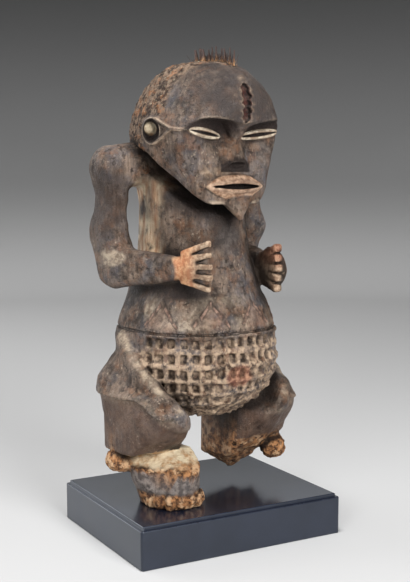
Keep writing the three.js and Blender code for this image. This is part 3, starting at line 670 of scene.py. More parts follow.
def quad_mesh(name, points, quads):
    """A smooth mesh of faces with four corners."""
    mesh = bpy.data.meshes.new(name)
    mesh.vertices.add(len(points))
    mesh.vertices.foreach_set("co", points.astype(np.float32).ravel())
    mesh.loops.add(quads.size)
    mesh.loops.foreach_set("vertex_index", quads.astype(np.int32).ravel())
    mesh.polygons.add(len(quads))
    mesh.polygons.foreach_set("loop_start", np.arange(0, quads.size, 4, dtype=np.int32))
    mesh.update(calc_edges=True)
    mesh.shade_smooth()
    return mesh


def baked(thing):
    """The object with its modifiers made part of its mesh."""
    graph = bpy.context.evaluated_depsgraph_get()
    mesh = bpy.data.meshes.new_from_object(thing.evaluated_get(graph))
    old = thing.data
    thing.modifiers.clear()
    thing.data = mesh
    bpy.data.meshes.remove(old)
    return thing


# Where each finish lies on the figure, from 0 to 1

# How far a stored distance reaches each way, in millimetres
FIELD = 4

# (middle, radii, softness) of each soft patch
SPOTS = {
    "quill_strip": ((0, 34, 378), (13, 40, 14), 0.35), "forehead": ((4, 66, 352), (66, 50, 42), 0.4),
    "healed": ((-3, 70, 359), (6, 14, 6), 0.8), "smear": ((-25, 60, 284), (18, 9, 4.5), 0.7),
    "cheek": ((32, 56, 297), (13, 14, 19), 0.7), "chin": ((0, 57, 250), (15, 14, 12), 0.6),
    "ear_lump": (EAR_LUMP["at"], [k * 1.25 for k in EAR_LUMP["radii"]], 0.4),
    "upper_arm": ((76, -22, 258), (24, 30, 46), 0.5), "elbow": ((-80, -8, 212), (14, 16, 8), 0.3),
    # The under_arm patch is where shadow is painted beneath the right forearm
    "chest": ((2, 54, 226), (18, 22, 20), 0.7), "under_arm": ((-43, 44, 183.5), (24, 30, 7.5), 0.6),
    "left_hand": ((64, 28, 206), (32, 50, 30), 0.5), "belly": ((-8, 76, 114), (16, 14, 12), 0.35),
    "stump_lump": (STUMP_LUMP[0], (17, 16, 14), 0.2), "heel": ((-77, -2, 38), (17, 18, 15), 0.3),
}


def spot(p, name):
    """A soft patch inside an ellipsoid."""
    at, radii, soft = SPOTS[name]
    return ramp(1, 1 - soft, length(*[(c - a) / r for c, a, r in zip(p, at, radii)]))


def band(v, low, high, soft):
    return ramp(low - soft, low + soft, v) * ramp(high + soft, high - soft, v)


def field(v, there):
    """A distance of up to FIELD each way as a number from 0 to 1, for sharp edges in the material."""
    return np.clip(0.5 + np.where(there, v, FIELD) / (2 * FIELD), 0, 1)


def merged(*parts):
    """All masks together. Where parts share a name, the stronger mask counts."""
    on = {}
    for part in parts:
        for name, mask in part.items():
            on[name] = np.maximum(on[name], mask) if name in on else mask
    return on


def hair(p, rough):
    """The rough cap of hair behind the forehead and the ears, and the strip that bears the quills."""
    _, y, z = p
    front = 31 + 5 * rough + np.maximum(z - 362, 0) * 0.9
    behind_ear = np.clip(ramp(326, 334, z) + ramp(10, 4, y) * (z <= 334), 0, 1)
    cap = np.maximum(ramp(front + 3, front - 3, y) * behind_ear, spot(p, "quill_strip"))
    return cap * ramp(4, 2, np.abs(dome(p))) * (z > 282)


def ear_masks(q, rough):
    lump = spot(q, "ear_lump")
    ridges = most(*[crest(q, line, 3) for line in EAR_RIDGES])
    return {
        "broken": lump,
        "bare": np.clip(1.6 * lump, 0, 0.95) * (0.8 + 0.5 * rough),
        # Painted shade in the ear's bowl, though not on its lump
        "dark": ramp(0.9, 0.1, egg(q, EAR["bowl"], EAR["bowl_radii"])) * (1 - lump),
        "tan": ramp(0.3, 0.9, ridges),
    }


def eye_masks(p, q):
    _, y, z = p
    side, _, up, leaf = eye_place(p)
    lid = eye(p)
    near = (y > 42) & (lid < 3) & (np.abs(side) < 3)
    lids = ramp(0.8, 0.2, lid) * ramp(51, 53, y) * band(z, 302, 328, 1)
    # Painted shade under the brow and in a ring round the lids
    under_brow = ramp(2.5, -0.5, egg(q, BROW["at"], BROW["radii"])) * ramp(311, 319, z) * (y > 30)
    return {
        "almond": field(np.abs(up) - 0.95 * EYES["swell"] * leaf, near),
        "eye_slit": field(np.abs(up) - 1.15 * EYES["slit"] * leaf, near),
        "recess": np.maximum(under_brow, 0.8 * ramp(3.2, 0.8, lid) * (y > 40)) * (1 - lids),
        "tan": 0.5 * lids,
    }


def mouth_masks(p):
    x, y, z = p
    across, up = x - MOUTH["at"][0], np.abs(z - MOUTH["at"][2])
    open_line = up - MOUTH["slit"][1] * (1 - (across / MOUTH["slit"][0]) ** 2)
    share = up / (MOUTH["half"][1] * np.maximum(1 - (across / MOUTH["half"][0]) ** 2, 0.1))
    lip = ramp(60, 61.5, y) * ramp(1.5, 0, lips(p)) * band(z, 258, 286, 1)
    return {
        "lip": lip * (0.62 + 0.38 * ramp(0.4, 0.75, share)),
        "slit": field(open_line, (y > 50) & (up < 12)),
    }


def face_masks(p, rough):
    """The nostrils' painted shade, the scar and what is smeared or sooted."""
    x, y, z = p
    # Painted shade: the underside of the nose and its nostrils turn near black in the material
    under = ramp(-4.6, -3.0, plane(p, NOSTRILS["at"], NOSTRILS["facing"])) * (np.abs(x + 0.5) < 15.5)
    under = under * band(y, 57, 77, 1) * band(z, 284, 297, 0.8) * ramp(4, 2, nose(p))
    cut_in = scar(p)
    bars = np.cos(2 * math.pi * (z - SCAR["at"][2]) / SCAR["notch"] * 0.7) + 0.5 * rough
    groove = ramp(1.0, 0.2, cut_in) * (y > 50) * (0.6 + 0.4 * ramp(-0.2, 0.6, bars))
    scab = np.maximum(0.7 * ramp(3.5, 0.5, cut_in), 0.45 * spot(p, "healed")) * (y > 45) * (1 - groove)
    scab = scab * np.clip(0.6 + 1.6 * waves(p, 5, 17, 2), 0.12, 1)
    return {
        "face": band(z, 244, 330, 6) * ramp(36, 44, y),
        "dark": np.clip(2 * under, 0, 1),
        "scar": groove,
        "tan": most(scab, 0.65 * spot(p, "smear"), 0.4 * spot(p, "chin")),
        "ash": 0.5 * spot(p, "cheek"),
        "soot_and_shadow": np.clip(spot(p, "forehead") * (0.85 + 0.45 * rough), 0, 1),
    }


def arm_masks(p, q, rough):
    """The hands, the arms and the torso between them, with painted shadow under the jaw and the right
    forearm.
    """
    x, y, z = p
    hand_skin = ramp(3, 1.5, hands(p)[0]) * ramp(38, 46, y + 3 * rough)
    skin = np.abs(torso(p))
    # Painted shadow: dark colour laid on the torso under the jaw and under the right forearm
    under_jaw = 0.75 * ramp(16, 4, face(p)) * (y > 8) * (z < 300) * ramp(2.5, 1, skin)
    painted_shadow = under_jaw + 0.95 * spot(p, "under_arm") * ramp(2, 0.5, skin)
    flank = band(y, -36, 13, 8) * band(z, 208, 274, 9) * band(q[0], 30, 54, 2)
    return {
        "tan": hand_skin,
        "ochre": hand_skin * (x < 0) * ramp(70, 54, y),
        "red": hand_skin * ramp(196, 214, z) * (x > 0),
        "dusk": np.clip(spot(q, "upper_arm") * (0.8 + 0.5 * rough), 0, 1),
        "rim": 0.8 * spot(p, "elbow"),
        "ash": 0.5 * spot(p, "chest"),
        "flank": np.clip(flank * (0.75 + 0.9 * waves(p, 14, 12, 3)), 0, 1),
        "soot_and_shadow": np.clip(painted_shadow, 0, 1),
        "dark": np.clip(0.5 * painted_shadow, 0, 0.5),
    }


def waist_masks(p):
    """The chevrons above the belt."""
    angle = bearing(p)
    lane = (angle - CHEVRON["first"]) / CHEVRON["step"]
    aside = np.abs(lane - np.round(lane)) * CHEVRON["step"]
    above = p[2] - CHEVRON["low"] - CHEVRON["high"] * (1 - aside / CHEVRON["half"])
    waist = band(p[2], 154, 180, 1) * (np.abs(angle) < CHEVRON["reach"]) * ramp(3, 1.5, np.abs(torso(p)))
    chevron = ramp(2.1, 0.9, np.abs(above)) * waist * (aside < CHEVRON["half"])
    shadow = ramp(1.6, 0.6, np.abs(above - 2.6)) * waist * (aside < CHEVRON["half"] + 1)
    return {
        "chevron": chevron,
        "line": field(np.abs(above), (waist > 0.5) & (aside < CHEVRON["half"])),
        "clay": np.maximum(0.4 * ramp(0, 2, -above) * waist, chevron),
        "dark": 0.6 * shadow,
        "rim": waist * np.clip(1.1 * waves(p, 19, 15, 3) + 0.15, 0, 0.72),
    }


def belly_masks(p):
    """The belly's lattice of ribs and the dark of its pits."""
    z = p[2]
    belly = ramp(BELLY["top"] + 1, BELLY["top"] - 1, z) * ramp(70, 74, z)
    belly = belly * ramp(3.5, 1.5, egg(p, BELLY["at"], BELLY["radii"]))
    belly = belly * ramp(PITS["reach"] + 8, PITS["reach"] + 4, np.abs(bearing(p)))
    column, row, edge = pit_places(p)
    worn = ramp(76, 104, z + 8 * waves(p, 15, 92))
    return {
        "lattice": belly,
        "dark": 0.36 * ramp(0.2, 0.7, column * row) * edge * belly * worn,
        "red": spot(p, "belly") * belly * 0.9,
    }


def leg_masks(p, q, rough):
    """The thigh's ridge, the smooth calf, the crumbled and bare wood at the breaks and the worn toes."""
    x, y, z = p
    skin = leg(p)
    left = ramp(-9, -5, broken_end(p) + 5 * rough) * (x > 8) * (z < 47) * ramp(2, -1, skin)
    right = x < -8
    ledge = ramp(-2.6, -1.2, foot_slope(p) + 1.3 * waves(p, 8, 95, 3)) * (z < 47.5) * right
    heel = spot(p, "heel")
    toes = ramp(14.5, 11.5, z + 3 * rough) * ramp(14, 24, y - 0.3 * x - 12) * right
    broken = most(left, spot(p, "stump_lump"), toes, heel, ledge)
    brink = mix(95, 82, ramp(25, 58, y)) - 10 * ramp(70, 50, q[0]) * ramp(40, 58, y)
    below = ramp(brink + 1, brink - 1, z + 1.5 * waves(p, 8, 94))
    ridge = ramp(0.5, 0.8, crest(q, THIGH_CREST["line"], 12))
    return {
        "broken": broken,
        "bare": ledge * ramp(0, 12, y + 6 * rough) * (1 - heel) * ramp(34, 38, z + 3 * rough),
        "ash": band(z, 14, 35, 2) * right * (y > 4) * (1 - broken),
        "calf": below * ramp(2.5, 1, np.abs(skin)) * (z > 30),
        "rim": np.maximum(ridge, 0.3 * crest(q, CALF_STEP["line"], 6)),
    }


def finishes(p):
    q = mirrored(p)
    rough = waves(p, 7, 11, 3)
    return merged(
        {"crust": hair(p, rough)}, ear_masks(q, rough), eye_masks(p, q), mouth_masks(p),
        face_masks(p, rough), arm_masks(p, q, rough), waist_masks(p), belly_masks(p),
        leg_masks(p, q, rough))


def relief(p, on):
    """How far the worn, broken and tooled surface stands out from the clean carving."""
    grains = 0.62 - lumps(p, 4.2, 21)
    crumbs = 0.55 - lumps(p, 2.6, 31)
    facets = (lumps(p, 16, 41) ** 2 - 0.35) * 1.5 + (lumps(p, 8, 43) ** 2 - 0.3) * 0.5
    plain = 1 - np.clip(on["crust"] + on["broken"] + on["face"] + on["lattice"], 0, 1)
    out = plain * facets + on["face"] * 0.15 * facets + 0.2 * waves(p, 9, 51, 3)
    out = out + on["crust"] * (1.5 * grains + 1.1 * crumbs + 0.7 * waves(p, 6, 61, 2))
    crumbled = 1.3 * grains + 0.9 * crumbs + 1.3 * waves(p, 7, 71, 3) - 0.3
    out = out + on["broken"] * crumbled * (1 - 0.5 * on["bare"])
    belly = on["lattice"]
    out = out + belly * ramp(112, 90, p[2]) * (2.6 * grains + 1.4 * waves(p, 6, 81, 2))
    out = out + 0.5 * belly * waves(p, 4, 83, 2)
    return out + CHEVRON["rise"] * on["chevron"]


# How far out the wood is probed for its hollows, and how far in for its worn edges
HOLLOW_REACHES = (2, 5, 11, 20, 34)
EDGE_REACHES = (1.5, 3, 5)
# Masks that only shape the surface and aren't stored
SHAPE_MASKS = {"face", "chevron"}


def carve_figure():
    """The figure as one mesh, with a mask for each finish and one of painted shade stored on its points."""
    values = grid_values(figure, GRID_LOW, GRID_HIGH, GRID_STEP, GRID_BLOCK)
    points, quads = surface(values, GRID_LOW, GRID_STEP)
    points = settle(figure, points, 0.5 * GRID_STEP)
    thing = placed(quad_mesh("carved_figure", to_shared(points), quads))
    thin = thing.modifiers.new("thin", "DECIMATE")
    thin.ratio = FIGURE_TRIANGLES / (2 * len(quads))
    mesh = baked(thing).data
    co = np.empty(len(mesh.vertices) * 3, dtype=np.float32)
    mesh.vertices.foreach_get("co", co)
    p = to_figure(co.reshape(-1, 3)).T.astype(np.float32)
    g = slope(figure, tuple(p), 0.5)
    g = g / np.maximum(length(*g), 1e-6)
    masks = finishes(tuple(p))
    # The hollow mask is painted shade: darker the more the wood closes round a point, and less by the left
    # hand
    closed = [np.clip(1 - figure(tuple(p + g * h)) / h, 0, 1) for h in HOLLOW_REACHES]
    worn = [np.clip(1 + figure(tuple(p - g * h)) / h, 0, 1) for h in EDGE_REACHES]
    masks["hollow"] = sum(closed) / len(closed) * (1 - 0.6 * spot(p, "left_hand"))
    masks["worn"] = sum(worn) / len(worn)
    p = p + g * relief(tuple(p), masks)
    p[2] = np.maximum(p[2], 0)
    mesh.vertices.foreach_set("co", to_shared(p.T).astype(np.float32).ravel())
    for name in sorted(masks.keys() - SHAPE_MASKS):
        layer = mesh.attributes.new(name, "FLOAT", "POINT")
        layer.data.foreach_set("value", np.clip(masks[name], 0, 1).astype(np.float32))
    mesh.update()
    return thing


# Plinth

PLINTH = {"corner": 2.5, "corner_steps": 6, "rebate": 3, "rebate_height": 3, "bevel": 0.8}


def plinth_ring(inset, z):
    """The plinth's outline with rounded corners, drawn in from its sides."""
    half = [PLINTH_HIGH[k] / MM - inset for k in (0, 1)]
    corner = max(PLINTH["corner"] - inset, 0.6)
    ring = []
    for turn, (sx, sy) in enumerate(((1, 1), (-1, 1), (-1, -1), (1, -1))):
        for step in range(PLINTH["corner_steps"] + 1):
            angle = (turn + step / PLINTH["corner_steps"]) * math.pi / 2
            ring.append((sx * (half[0] - corner) + corner * math.cos(angle),
                         sy * (half[1] - corner) + corner * math.sin(angle), z))
    return ring


def plinth_block():
    """A board with slightly rounded edges and a step all round its polished top."""
    top = PLINTH_HIGH.z / MM
    bevel, step, ledge = PLINTH["bevel"], PLINTH["rebate"], top - PLINTH["rebate_height"]
    profile = [(bevel, 0), (0.3 * bevel, 0.3 * bevel), (0, bevel), (0, ledge - bevel),
               (0.3 * bevel, ledge - 0.3 * bevel), (bevel, ledge), (step, ledge), (step, top - bevel),
               (step + 0.3 * bevel, top - 0.3 * bevel), (step + bevel, top)]
    rings = [plinth_ring(inset, z) for inset, z in profile]
    count = len(rings[0])
    mesh = bpy.data.meshes.new("black_plinth")
    starts = [r * count for r in range(len(rings))]
    faces = [[a + i, a + (i + 1) % count, b + (i + 1) % count, b + i]
             for a, b in zip(starts, starts[1:]) for i in range(count)]
    faces += [list(range(count))[::-1], [starts[-1] + i for i in range(count)]]
    mesh.from_pydata([[c * MM for c in point] for ring in rings for point in ring], [], faces)
    mesh.polygons.foreach_set("use_smooth", [polygon.area < 1e-4 for polygon in mesh.polygons])
    return placed(mesh)


# Quills in the crown

QUILLS = {"count": 10, "first": 9, "last": 57, "stout": 3, "stout_width": 1.4, "width": 0.75}
QUILL_SIZES = {
    "Thick": 0.0014, "Thin": 0.0007, "Bend": 0.0012, "Fibre Thick": 0.0002, "Fibre Length": 0.009,
    "Spread": 0.004, "Fibres": 14, "Seed": 4,
}


def quill_roots():
    """A point for each quill, at its place along the crown, with its thickness and lean."""
    points, thick, lean, tall = [], [], [], []
    for i in range(QUILLS["count"]):
        t = i / (QUILLS["count"] - 1)
        low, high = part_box("quill_%d" % (i + 1))
        place = np.array([[math.sin(2.4 * i), mix(QUILLS["first"], QUILLS["last"], t), 0.0]])
        x, y, _ = to_shared(place)[0]
        points.append((x, y, low.z))
        thick.append(QUILLS["stout_width"] if i < QUILLS["stout"] else QUILLS["width"])
        lean.append(0.25 * (t - 0.4))
        tall.append(high.z - low.z)
    mesh = bpy.data.meshes.new("crown_quills")
    mesh.from_pydata(points, [], [])
    for name, values in (("thick", thick), ("lean", lean), ("tall", tall)):
        mesh.attributes.new(name, "FLOAT", "POINT").data.foreach_set("value", values)
    return placed(mesh)


def fill(tree, inputs, given):
    """Sets inputs by name: each to a value, or to the output of another node."""
    for name, value in given.items():
        if isinstance(value, bpy.types.Node):
            value = value.outputs[0]
        if isinstance(value, bpy.types.NodeSocket):
            tree.links.new(value, inputs[name])
        else:
            inputs[name].default_value = value


def add(tree, kind, inputs=None, **settings):
    """A node with its settings and inputs."""
    made = tree.nodes.new(kind)
    for name, value in settings.items():
        setattr(made, name, value)
    fill(tree, made.inputs, inputs or {})
    return made


def quill_tree(material):
    """Bent tapering sticks on the given points, with thin broken fibres strewn round each."""
    tree = bpy.data.node_groups.new("quills_on_crown", "GeometryNodeTree")
    face = tree.interface
    face.new_socket("Geometry", in_out="INPUT", socket_type="NodeSocketGeometry")
    for name in ("Thick", "Thin", "Bend", "Fibre Thick", "Fibre Length", "Spread"):
        face.new_socket(name, in_out="INPUT", socket_type="NodeSocketFloat")
    for name in ("Fibres", "Seed"):
        face.new_socket(name, in_out="INPUT", socket_type="NodeSocketInt")
    face.new_socket("Geometry", in_out="OUTPUT", socket_type="NodeSocketGeometry")
    given = tree.nodes.new("NodeGroupInput").outputs

    def named(name):
        return add(tree, "GeometryNodeInputNamedAttribute", {"Name": name}, data_type="FLOAT")

    def stick(base, tip, sides, steps):
        """An upright stick one unit high that bends towards the front."""
        line = add(tree, "GeometryNodeCurvePrimitiveLine", {"End": (0, 0, 1)})
        fine = add(tree, "GeometryNodeResampleCurve", {"Curve": line, "Count": steps})
        share = add(tree, "GeometryNodeSplineParameter").outputs["Factor"]
        square = add(tree, "ShaderNodeMath", {0: share, 1: 2.0}, operation="POWER")
        way = add(tree, "ShaderNodeMath", {0: square, 1: given["Bend"]}, operation="MULTIPLY")
        marked = add(tree, "GeometryNodeStoreNamedAttribute", {
            "Geometry": fine, "Name": "share", "Value": share}, data_type="FLOAT", domain="POINT")
        bent = add(tree, "GeometryNodeSetPosition", {
            "Geometry": marked, "Offset": add(tree, "ShaderNodeCombineXYZ", {"Y": way})})
        width = add(tree, "ShaderNodeMapRange", {"Value": share, "To Min": base, "To Max": tip})
        ring = add(tree, "GeometryNodeCurvePrimitiveCircle", {"Resolution": sides, "Radius": 1.0})
        return add(tree, "GeometryNodeCurveToMesh", {
            "Curve": bent, "Profile Curve": ring, "Scale": width, "Fill Caps": True})

    def planted(points, shape, lean, scale):
        return add(tree, "GeometryNodeInstanceOnPoints", {
            "Points": points, "Instance": shape, "Rotation": lean, "Scale": scale})

    lean = add(tree, "ShaderNodeCombineXYZ", {"X": named("lean")})
    thick = named("thick")
    size = add(tree, "ShaderNodeCombineXYZ", {"X": thick, "Y": thick, "Z": named("tall")})
    quills = planted(given["Geometry"], stick(given["Thick"], given["Thin"], 10, 9), lean, size)
    many = add(tree, "GeometryNodeDuplicateElements", {
        "Geometry": given["Geometry"], "Amount": given["Fibres"]}, domain="POINT")
    far = add(tree, "ShaderNodeVectorMath", {
        0: (1.0, 1.0, 0.0), "Scale": given["Spread"]}, operation="SCALE")
    near = add(tree, "ShaderNodeVectorMath", {0: far, "Scale": -1.0}, operation="SCALE")
    place = add(tree, "FunctionNodeRandomValue", {
        "Min": near, "Max": far, "Seed": given["Seed"]}, data_type="FLOAT_VECTOR")
    strewn = add(tree, "GeometryNodeSetPosition", {"Geometry": many, "Offset": place})
    tilt = add(tree, "FunctionNodeRandomValue", {
        "Min": (-0.5, -0.5, 0.0), "Max": (0.5, 0.5, 6.3), "Seed": given["Seed"]}, data_type="FLOAT_VECTOR")
    short = add(tree, "ShaderNodeMath", {0: given["Fibre Length"], 1: 0.4}, operation="MULTIPLY")
    high = add(tree, "FunctionNodeRandomValue", {"Seed": given["Seed"]}, data_type="FLOAT")
    tree.links.new(short.outputs[0], high.inputs[2])
    tree.links.new(given["Fibre Length"], high.inputs[3])
    fibre_size = add(tree, "ShaderNodeCombineXYZ", {"X": 1.0, "Y": 1.0, "Z": high.outputs[1]})
    fibres = planted(strewn, stick(given["Fibre Thick"], given["Fibre Thick"], 4, 4), tilt, fibre_size)
    both = tree.nodes.new("GeometryNodeJoinGeometry")
    for part in (fibres, quills):
        tree.links.new(part.outputs[0], both.inputs[0])
    real = add(tree, "GeometryNodeRealizeInstances", {"Geometry": both})
    painted = add(tree, "GeometryNodeSetMaterial", {"Geometry": real, "Material": material})
    end = tree.nodes.new("NodeGroupOutput")
    tree.links.new(painted.outputs[0], end.inputs[0])
    return tree


def grow_quills(material):
    thing = quill_roots()
    tree = quill_tree(material)
    modifier = thing.modifiers.new("quills", "NODES")
    modifier.node_group = tree
    for socket in tree.interface.items_tree:
        if socket.in_out == "INPUT" and socket.name in QUILL_SIZES:
            modifier[socket.identifier] = QUILL_SIZES[socket.name]
    return baked(thing)


# Materials

def shared(name, inputs, outputs):
    """A shader node group with named inputs and outputs."""
    tree = bpy.data.node_groups.new(name, "ShaderNodeTree")
    for socket, kind, value in inputs:
        made = tree.interface.new_socket(socket, in_out="INPUT", socket_type=kind)
        if value is not None:
            made.default_value = value
    for socket, kind in outputs:
        tree.interface.new_socket(socket, in_out="OUTPUT", socket_type=kind)
    return tree, tree.nodes.new("NodeGroupInput").outputs, tree.nodes.new("NodeGroupOutput").inputs


def noise(tree, place, scale, detail, rough=0.55):
    return add(tree, "ShaderNodeTexNoise", {
        "Vector": place, "Scale": scale, "Detail": detail, "Roughness": rough})


def spread(tree, value, low, high, bottom=0.0, top=1.0):
    """A value from low to high as one from bottom to top, smooth at both ends."""
    return add(tree, "ShaderNodeMapRange", {
        "Value": value, "From Min": low, "From Max": high, "To Min": bottom, "To Max": top,
    }, interpolation_type="SMOOTHSTEP")


def plus(tree, a, b):
    return add(tree, "ShaderNodeMath", {0: a, 1: b}, operation="ADD")


def minus(tree, a, b):
    return add(tree, "ShaderNodeMath", {0: a, 1: b}, operation="SUBTRACT")


def times(tree, a, b):
    return add(tree, "ShaderNodeMath", {0: a, 1: b}, operation="MULTIPLY")


def tint(tree, amount, a, b):
    """The colour a, turned to b by an amount."""
    return add(tree, "ShaderNodeMix", {0: amount, 6: a, 7: b}, data_type="RGBA").outputs[2]


def lay(tree, colour, *layers):
    """The colour under others. A layer is (where, how strongly it covers, colour)."""
    for mask, amount, coat in layers:
        colour = tint(tree, times(tree, mask, amount), colour, coat)
    return colour


def mottle_group():
    """Uneven patches of a finish, with a sharper or softer edge."""
    tree, given, out = shared("mottle", [
        ("Place", "NodeSocketVector", None), ("Size", "NodeSocketFloat", 40.0),
        ("Low", "NodeSocketFloat", 0.4), ("High", "NodeSocketFloat", 0.6)], [("Amount", "NodeSocketFloat")])
    broad = noise(tree, given["Place"], given["Size"], 6.0, 0.62)
    made = spread(tree, broad, given["Low"], given["High"])
    tree.links.new(made.outputs[0], out["Amount"])
    return tree


def grain_group():
    """Fine upright grain: long thin streaks, darker in the pores."""
    tree, given, out = shared("grain", [
        ("Place", "NodeSocketVector", None), ("Fineness", "NodeSocketFloat", 500.0),
        ("Stretch", "NodeSocketFloat", 0.08)], [("Streak", "NodeSocketFloat")])
    scale = add(tree, "ShaderNodeCombineXYZ", {"X": 1.0, "Y": 1.0, "Z": given["Stretch"]})
    drawn = add(tree, "ShaderNodeVectorMath", {0: given["Place"], 1: scale}, operation="MULTIPLY")
    streaks = noise(tree, drawn, given["Fineness"], 3.0, 0.6)
    made = spread(tree, streaks, 0.3, 0.7)
    tree.links.new(made.outputs[0], out["Streak"])
    return tree


MOTTLE = mottle_group()
GRAIN = grain_group()


def mottled(tree, place, size, low, high):
    inputs = {"Place": place, "Size": size, "Low": low, "High": high}
    return add(tree, "ShaderNodeGroup", inputs, node_tree=MOTTLE)


def grained(tree, place, fineness, stretch):
    inputs = {"Place": place, "Fineness": fineness, "Stretch": stretch}
    return add(tree, "ShaderNodeGroup", inputs, node_tree=GRAIN)


def material(name):
    """(material, its tree, its shader's inputs, the place on the object)"""
    made = bpy.data.materials.new(name)
    made.use_nodes = True
    tree = made.node_tree
    place = add(tree, "ShaderNodeTexCoord").outputs["Object"]
    return made, tree, tree.nodes["Principled BSDF"].inputs, place


def bumps(tree, height, strength, distance):
    return add(tree, "ShaderNodeBump", {"Height": height, "Strength": strength, "Distance": distance})


def wood_material():
    made, tree, shader, place = material("patinated_wood")

    def on(name):
        return add(tree, "ShaderNodeAttribute", attribute_name=name).outputs["Fac"]

    def inside(name, edge, soft):
        """1 where a stored distance lies below an edge, in millimetres."""
        low, high = (0.5 + v / (2 * FIELD) for v in (edge + soft, edge - soft))
        return spread(tree, on(name), low, high)

    def patches(size, low, high):
        return mottled(tree, place, size, low, high)

    middling = patches(210.0, 0.4, 0.62)

    def uneven(thin, thick):
        return tint(tree, middling, thin, thick)

    grain = grained(tree, place, 420.0, 0.1)
    chips = times(tree, patches(340.0, 0.56, 0.7), patches(40.0, 0.42, 0.62))
    edges = times(tree, spread(tree, on("worn"), 0.4, 0.8), patches(130.0, 0.3, 0.58))
    dark_calf = tint(tree, patches(60.0, 0.3, 0.6), (0.04, 0.021, 0.015, 1), (0.125, 0.073, 0.05, 1))
    calf = lay(tree, dark_calf, (chips, 0.7, (0.5, 0.36, 0.27, 1)))
    hair = lay(
        tree, uneven((0.035, 0.02, 0.014, 1), (0.24, 0.165, 0.115, 1)),
        (patches(95.0, 0.51, 0.62), 0.55, (0.4, 0.17, 0.07, 1)),
        (patches(520.0, 0.58, 0.68), 0.7, (0.5, 0.46, 0.33, 1)))
    crumbled = lay(
        tree, uneven((0.07, 0.03, 0.016, 1), (0.5, 0.24, 0.1, 1)),
        (patches(120.0, 0.5, 0.62), 1.0, (0.66, 0.42, 0.24, 1)))
    sapwood = tint(tree, patches(90.0, 0.35, 0.6), (0.5, 0.27, 0.12, 1), (0.86, 0.72, 0.5, 1))
    scraped = tint(tree, grained(tree, place, 150.0, 0.22), (0.98, 0.82, 0.58, 1), (0.48, 0.22, 0.095, 1))
    hollows = spread(tree, on("hollow"), 0.14, 0.68)
    lids = times(tree, inside("almond", 0.2, 0.35), minus(tree, 1.0, inside("almond", -1.9, 0.5)))
    rubbed = spread(tree, patches(260.0, 0.3, 0.6), 0.0, 1.0, 0.5, 0.92)

    colour = tint(tree, patches(48.0, 0.36, 0.66), (0.034, 0.02, 0.014, 1), (0.28, 0.2, 0.15, 1))
    colour = lay(
        tree, colour,
        # Painted sheen in bluish-grey patches, red wood, pale rubbed wood, pores, chips and dark stains
        (patches(31.0, 0.46, 0.62), 0.58, (0.115, 0.118, 0.135, 1)),
        (patches(75.0, 0.46, 0.65), 0.62, (0.24, 0.115, 0.058, 1)),
        (patches(190.0, 0.45, 0.7), 0.4, (0.36, 0.29, 0.23, 1)),
        (grain, 0.5, (0.03, 0.02, 0.014, 1)),
        (chips, 0.75, (0.5, 0.39, 0.29, 1)),
        (patches(230.0, 0.52, 0.66), 0.82, (0.022, 0.014, 0.01, 1)),
        (edges, 0.85, (0.54, 0.42, 0.31, 1)),
        (on("lattice"), times(tree, middling, 0.88), (0.55, 0.4, 0.275, 1)),
        # Soot on the forehead, and painted shadow under the jaw and the right forearm
        (on("soot_and_shadow"), 0.9, (0.046, 0.036, 0.033, 1)),
        (on("dusk"), 0.92, (0.04, 0.024, 0.017, 1)),
        (on("calf"), 0.68, calf),
        (on("clay"), 0.7, uneven((0.17, 0.1, 0.075, 1), (0.42, 0.26, 0.19, 1))),
        (on("rim"), 0.85, uneven((0.24, 0.18, 0.13, 1), (0.6, 0.49, 0.36, 1))),
        (on("tan"), 0.85, uneven((0.3, 0.19, 0.12, 1), (0.66, 0.48, 0.33, 1))),
        (on("red"), 0.8, uneven((0.2, 0.07, 0.04, 1), (0.48, 0.22, 0.13, 1))),
        (on("ochre"), 0.92, uneven((0.5, 0.2, 0.09, 1), (0.76, 0.42, 0.22, 1))),
        (on("lip"), 0.92, uneven((0.3, 0.16, 0.09, 1), (0.74, 0.49, 0.33, 1))),
        (on("ash"), 0.75, uneven((0.11, 0.095, 0.09, 1), (0.36, 0.31, 0.28, 1))),
        (on("crust"), 1.0, hair),
        (on("broken"), 1.0, crumbled),
        (on("scar"), 1.0, uneven((0.02, 0.006, 0.005, 1), (0.09, 0.026, 0.018, 1))),
        # The shade of hollows, lighter on the open belly
        (hollows, minus(tree, 0.94, times(tree, on("lattice"), 0.38)), (0.012, 0.007, 0.005, 1)),
        # Near black: painted shade in the nostrils, the ears' bowls, under the jaw and forearm and above
        # the chevrons, and the dark of the belly's pits
        (on("dark"), 0.92, (0.012, 0.007, 0.006, 1)),
        (times(tree, on("flank"), 0.9), patches(75.0, 0.28, 0.52), scraped),
        # Painted shade under the brows and round the eyes
        (on("recess"), 0.94, (0.02, 0.012, 0.01, 1)),
        (on("bare"), 0.9, sapwood),
        # Drawn lines: the chevrons with their dark outline, and the rims and slits of eyes and mouth
        (inside("line", 3.0, 0.4), 0.55, (0.03, 0.018, 0.014, 1)),
        (inside("line", 1.6, 0.5), 0.6, uneven((0.16, 0.09, 0.065, 1), (0.44, 0.28, 0.21, 1))),
        (lids, rubbed, uneven((0.46, 0.36, 0.26, 1), (0.78, 0.68, 0.53, 1))),
        (inside("eye_slit", 0.0, 0.3), 0.95, (0.01, 0.006, 0.005, 1)),
        (inside("slit", 0.0, 0.3), 0.95, (0.01, 0.006, 0.005, 1)))
    gloss = spread(tree, patches(70.0, 0.3, 0.7), 0.0, 1.0, 0.4, 0.62)
    height = plus(tree, times(tree, grain, 0.5), times(tree, patches(700.0, 0.36, 0.64), 0.6))
    fill(tree, shader, {
        "Base Color": colour, "Specular IOR Level": 0.28,
        "Roughness": plus(tree, gloss, times(tree, plus(tree, on("broken"), on("crust")), 0.3)),
        "Normal": bumps(tree, height, 0.75, 0.001),
    })
    return made


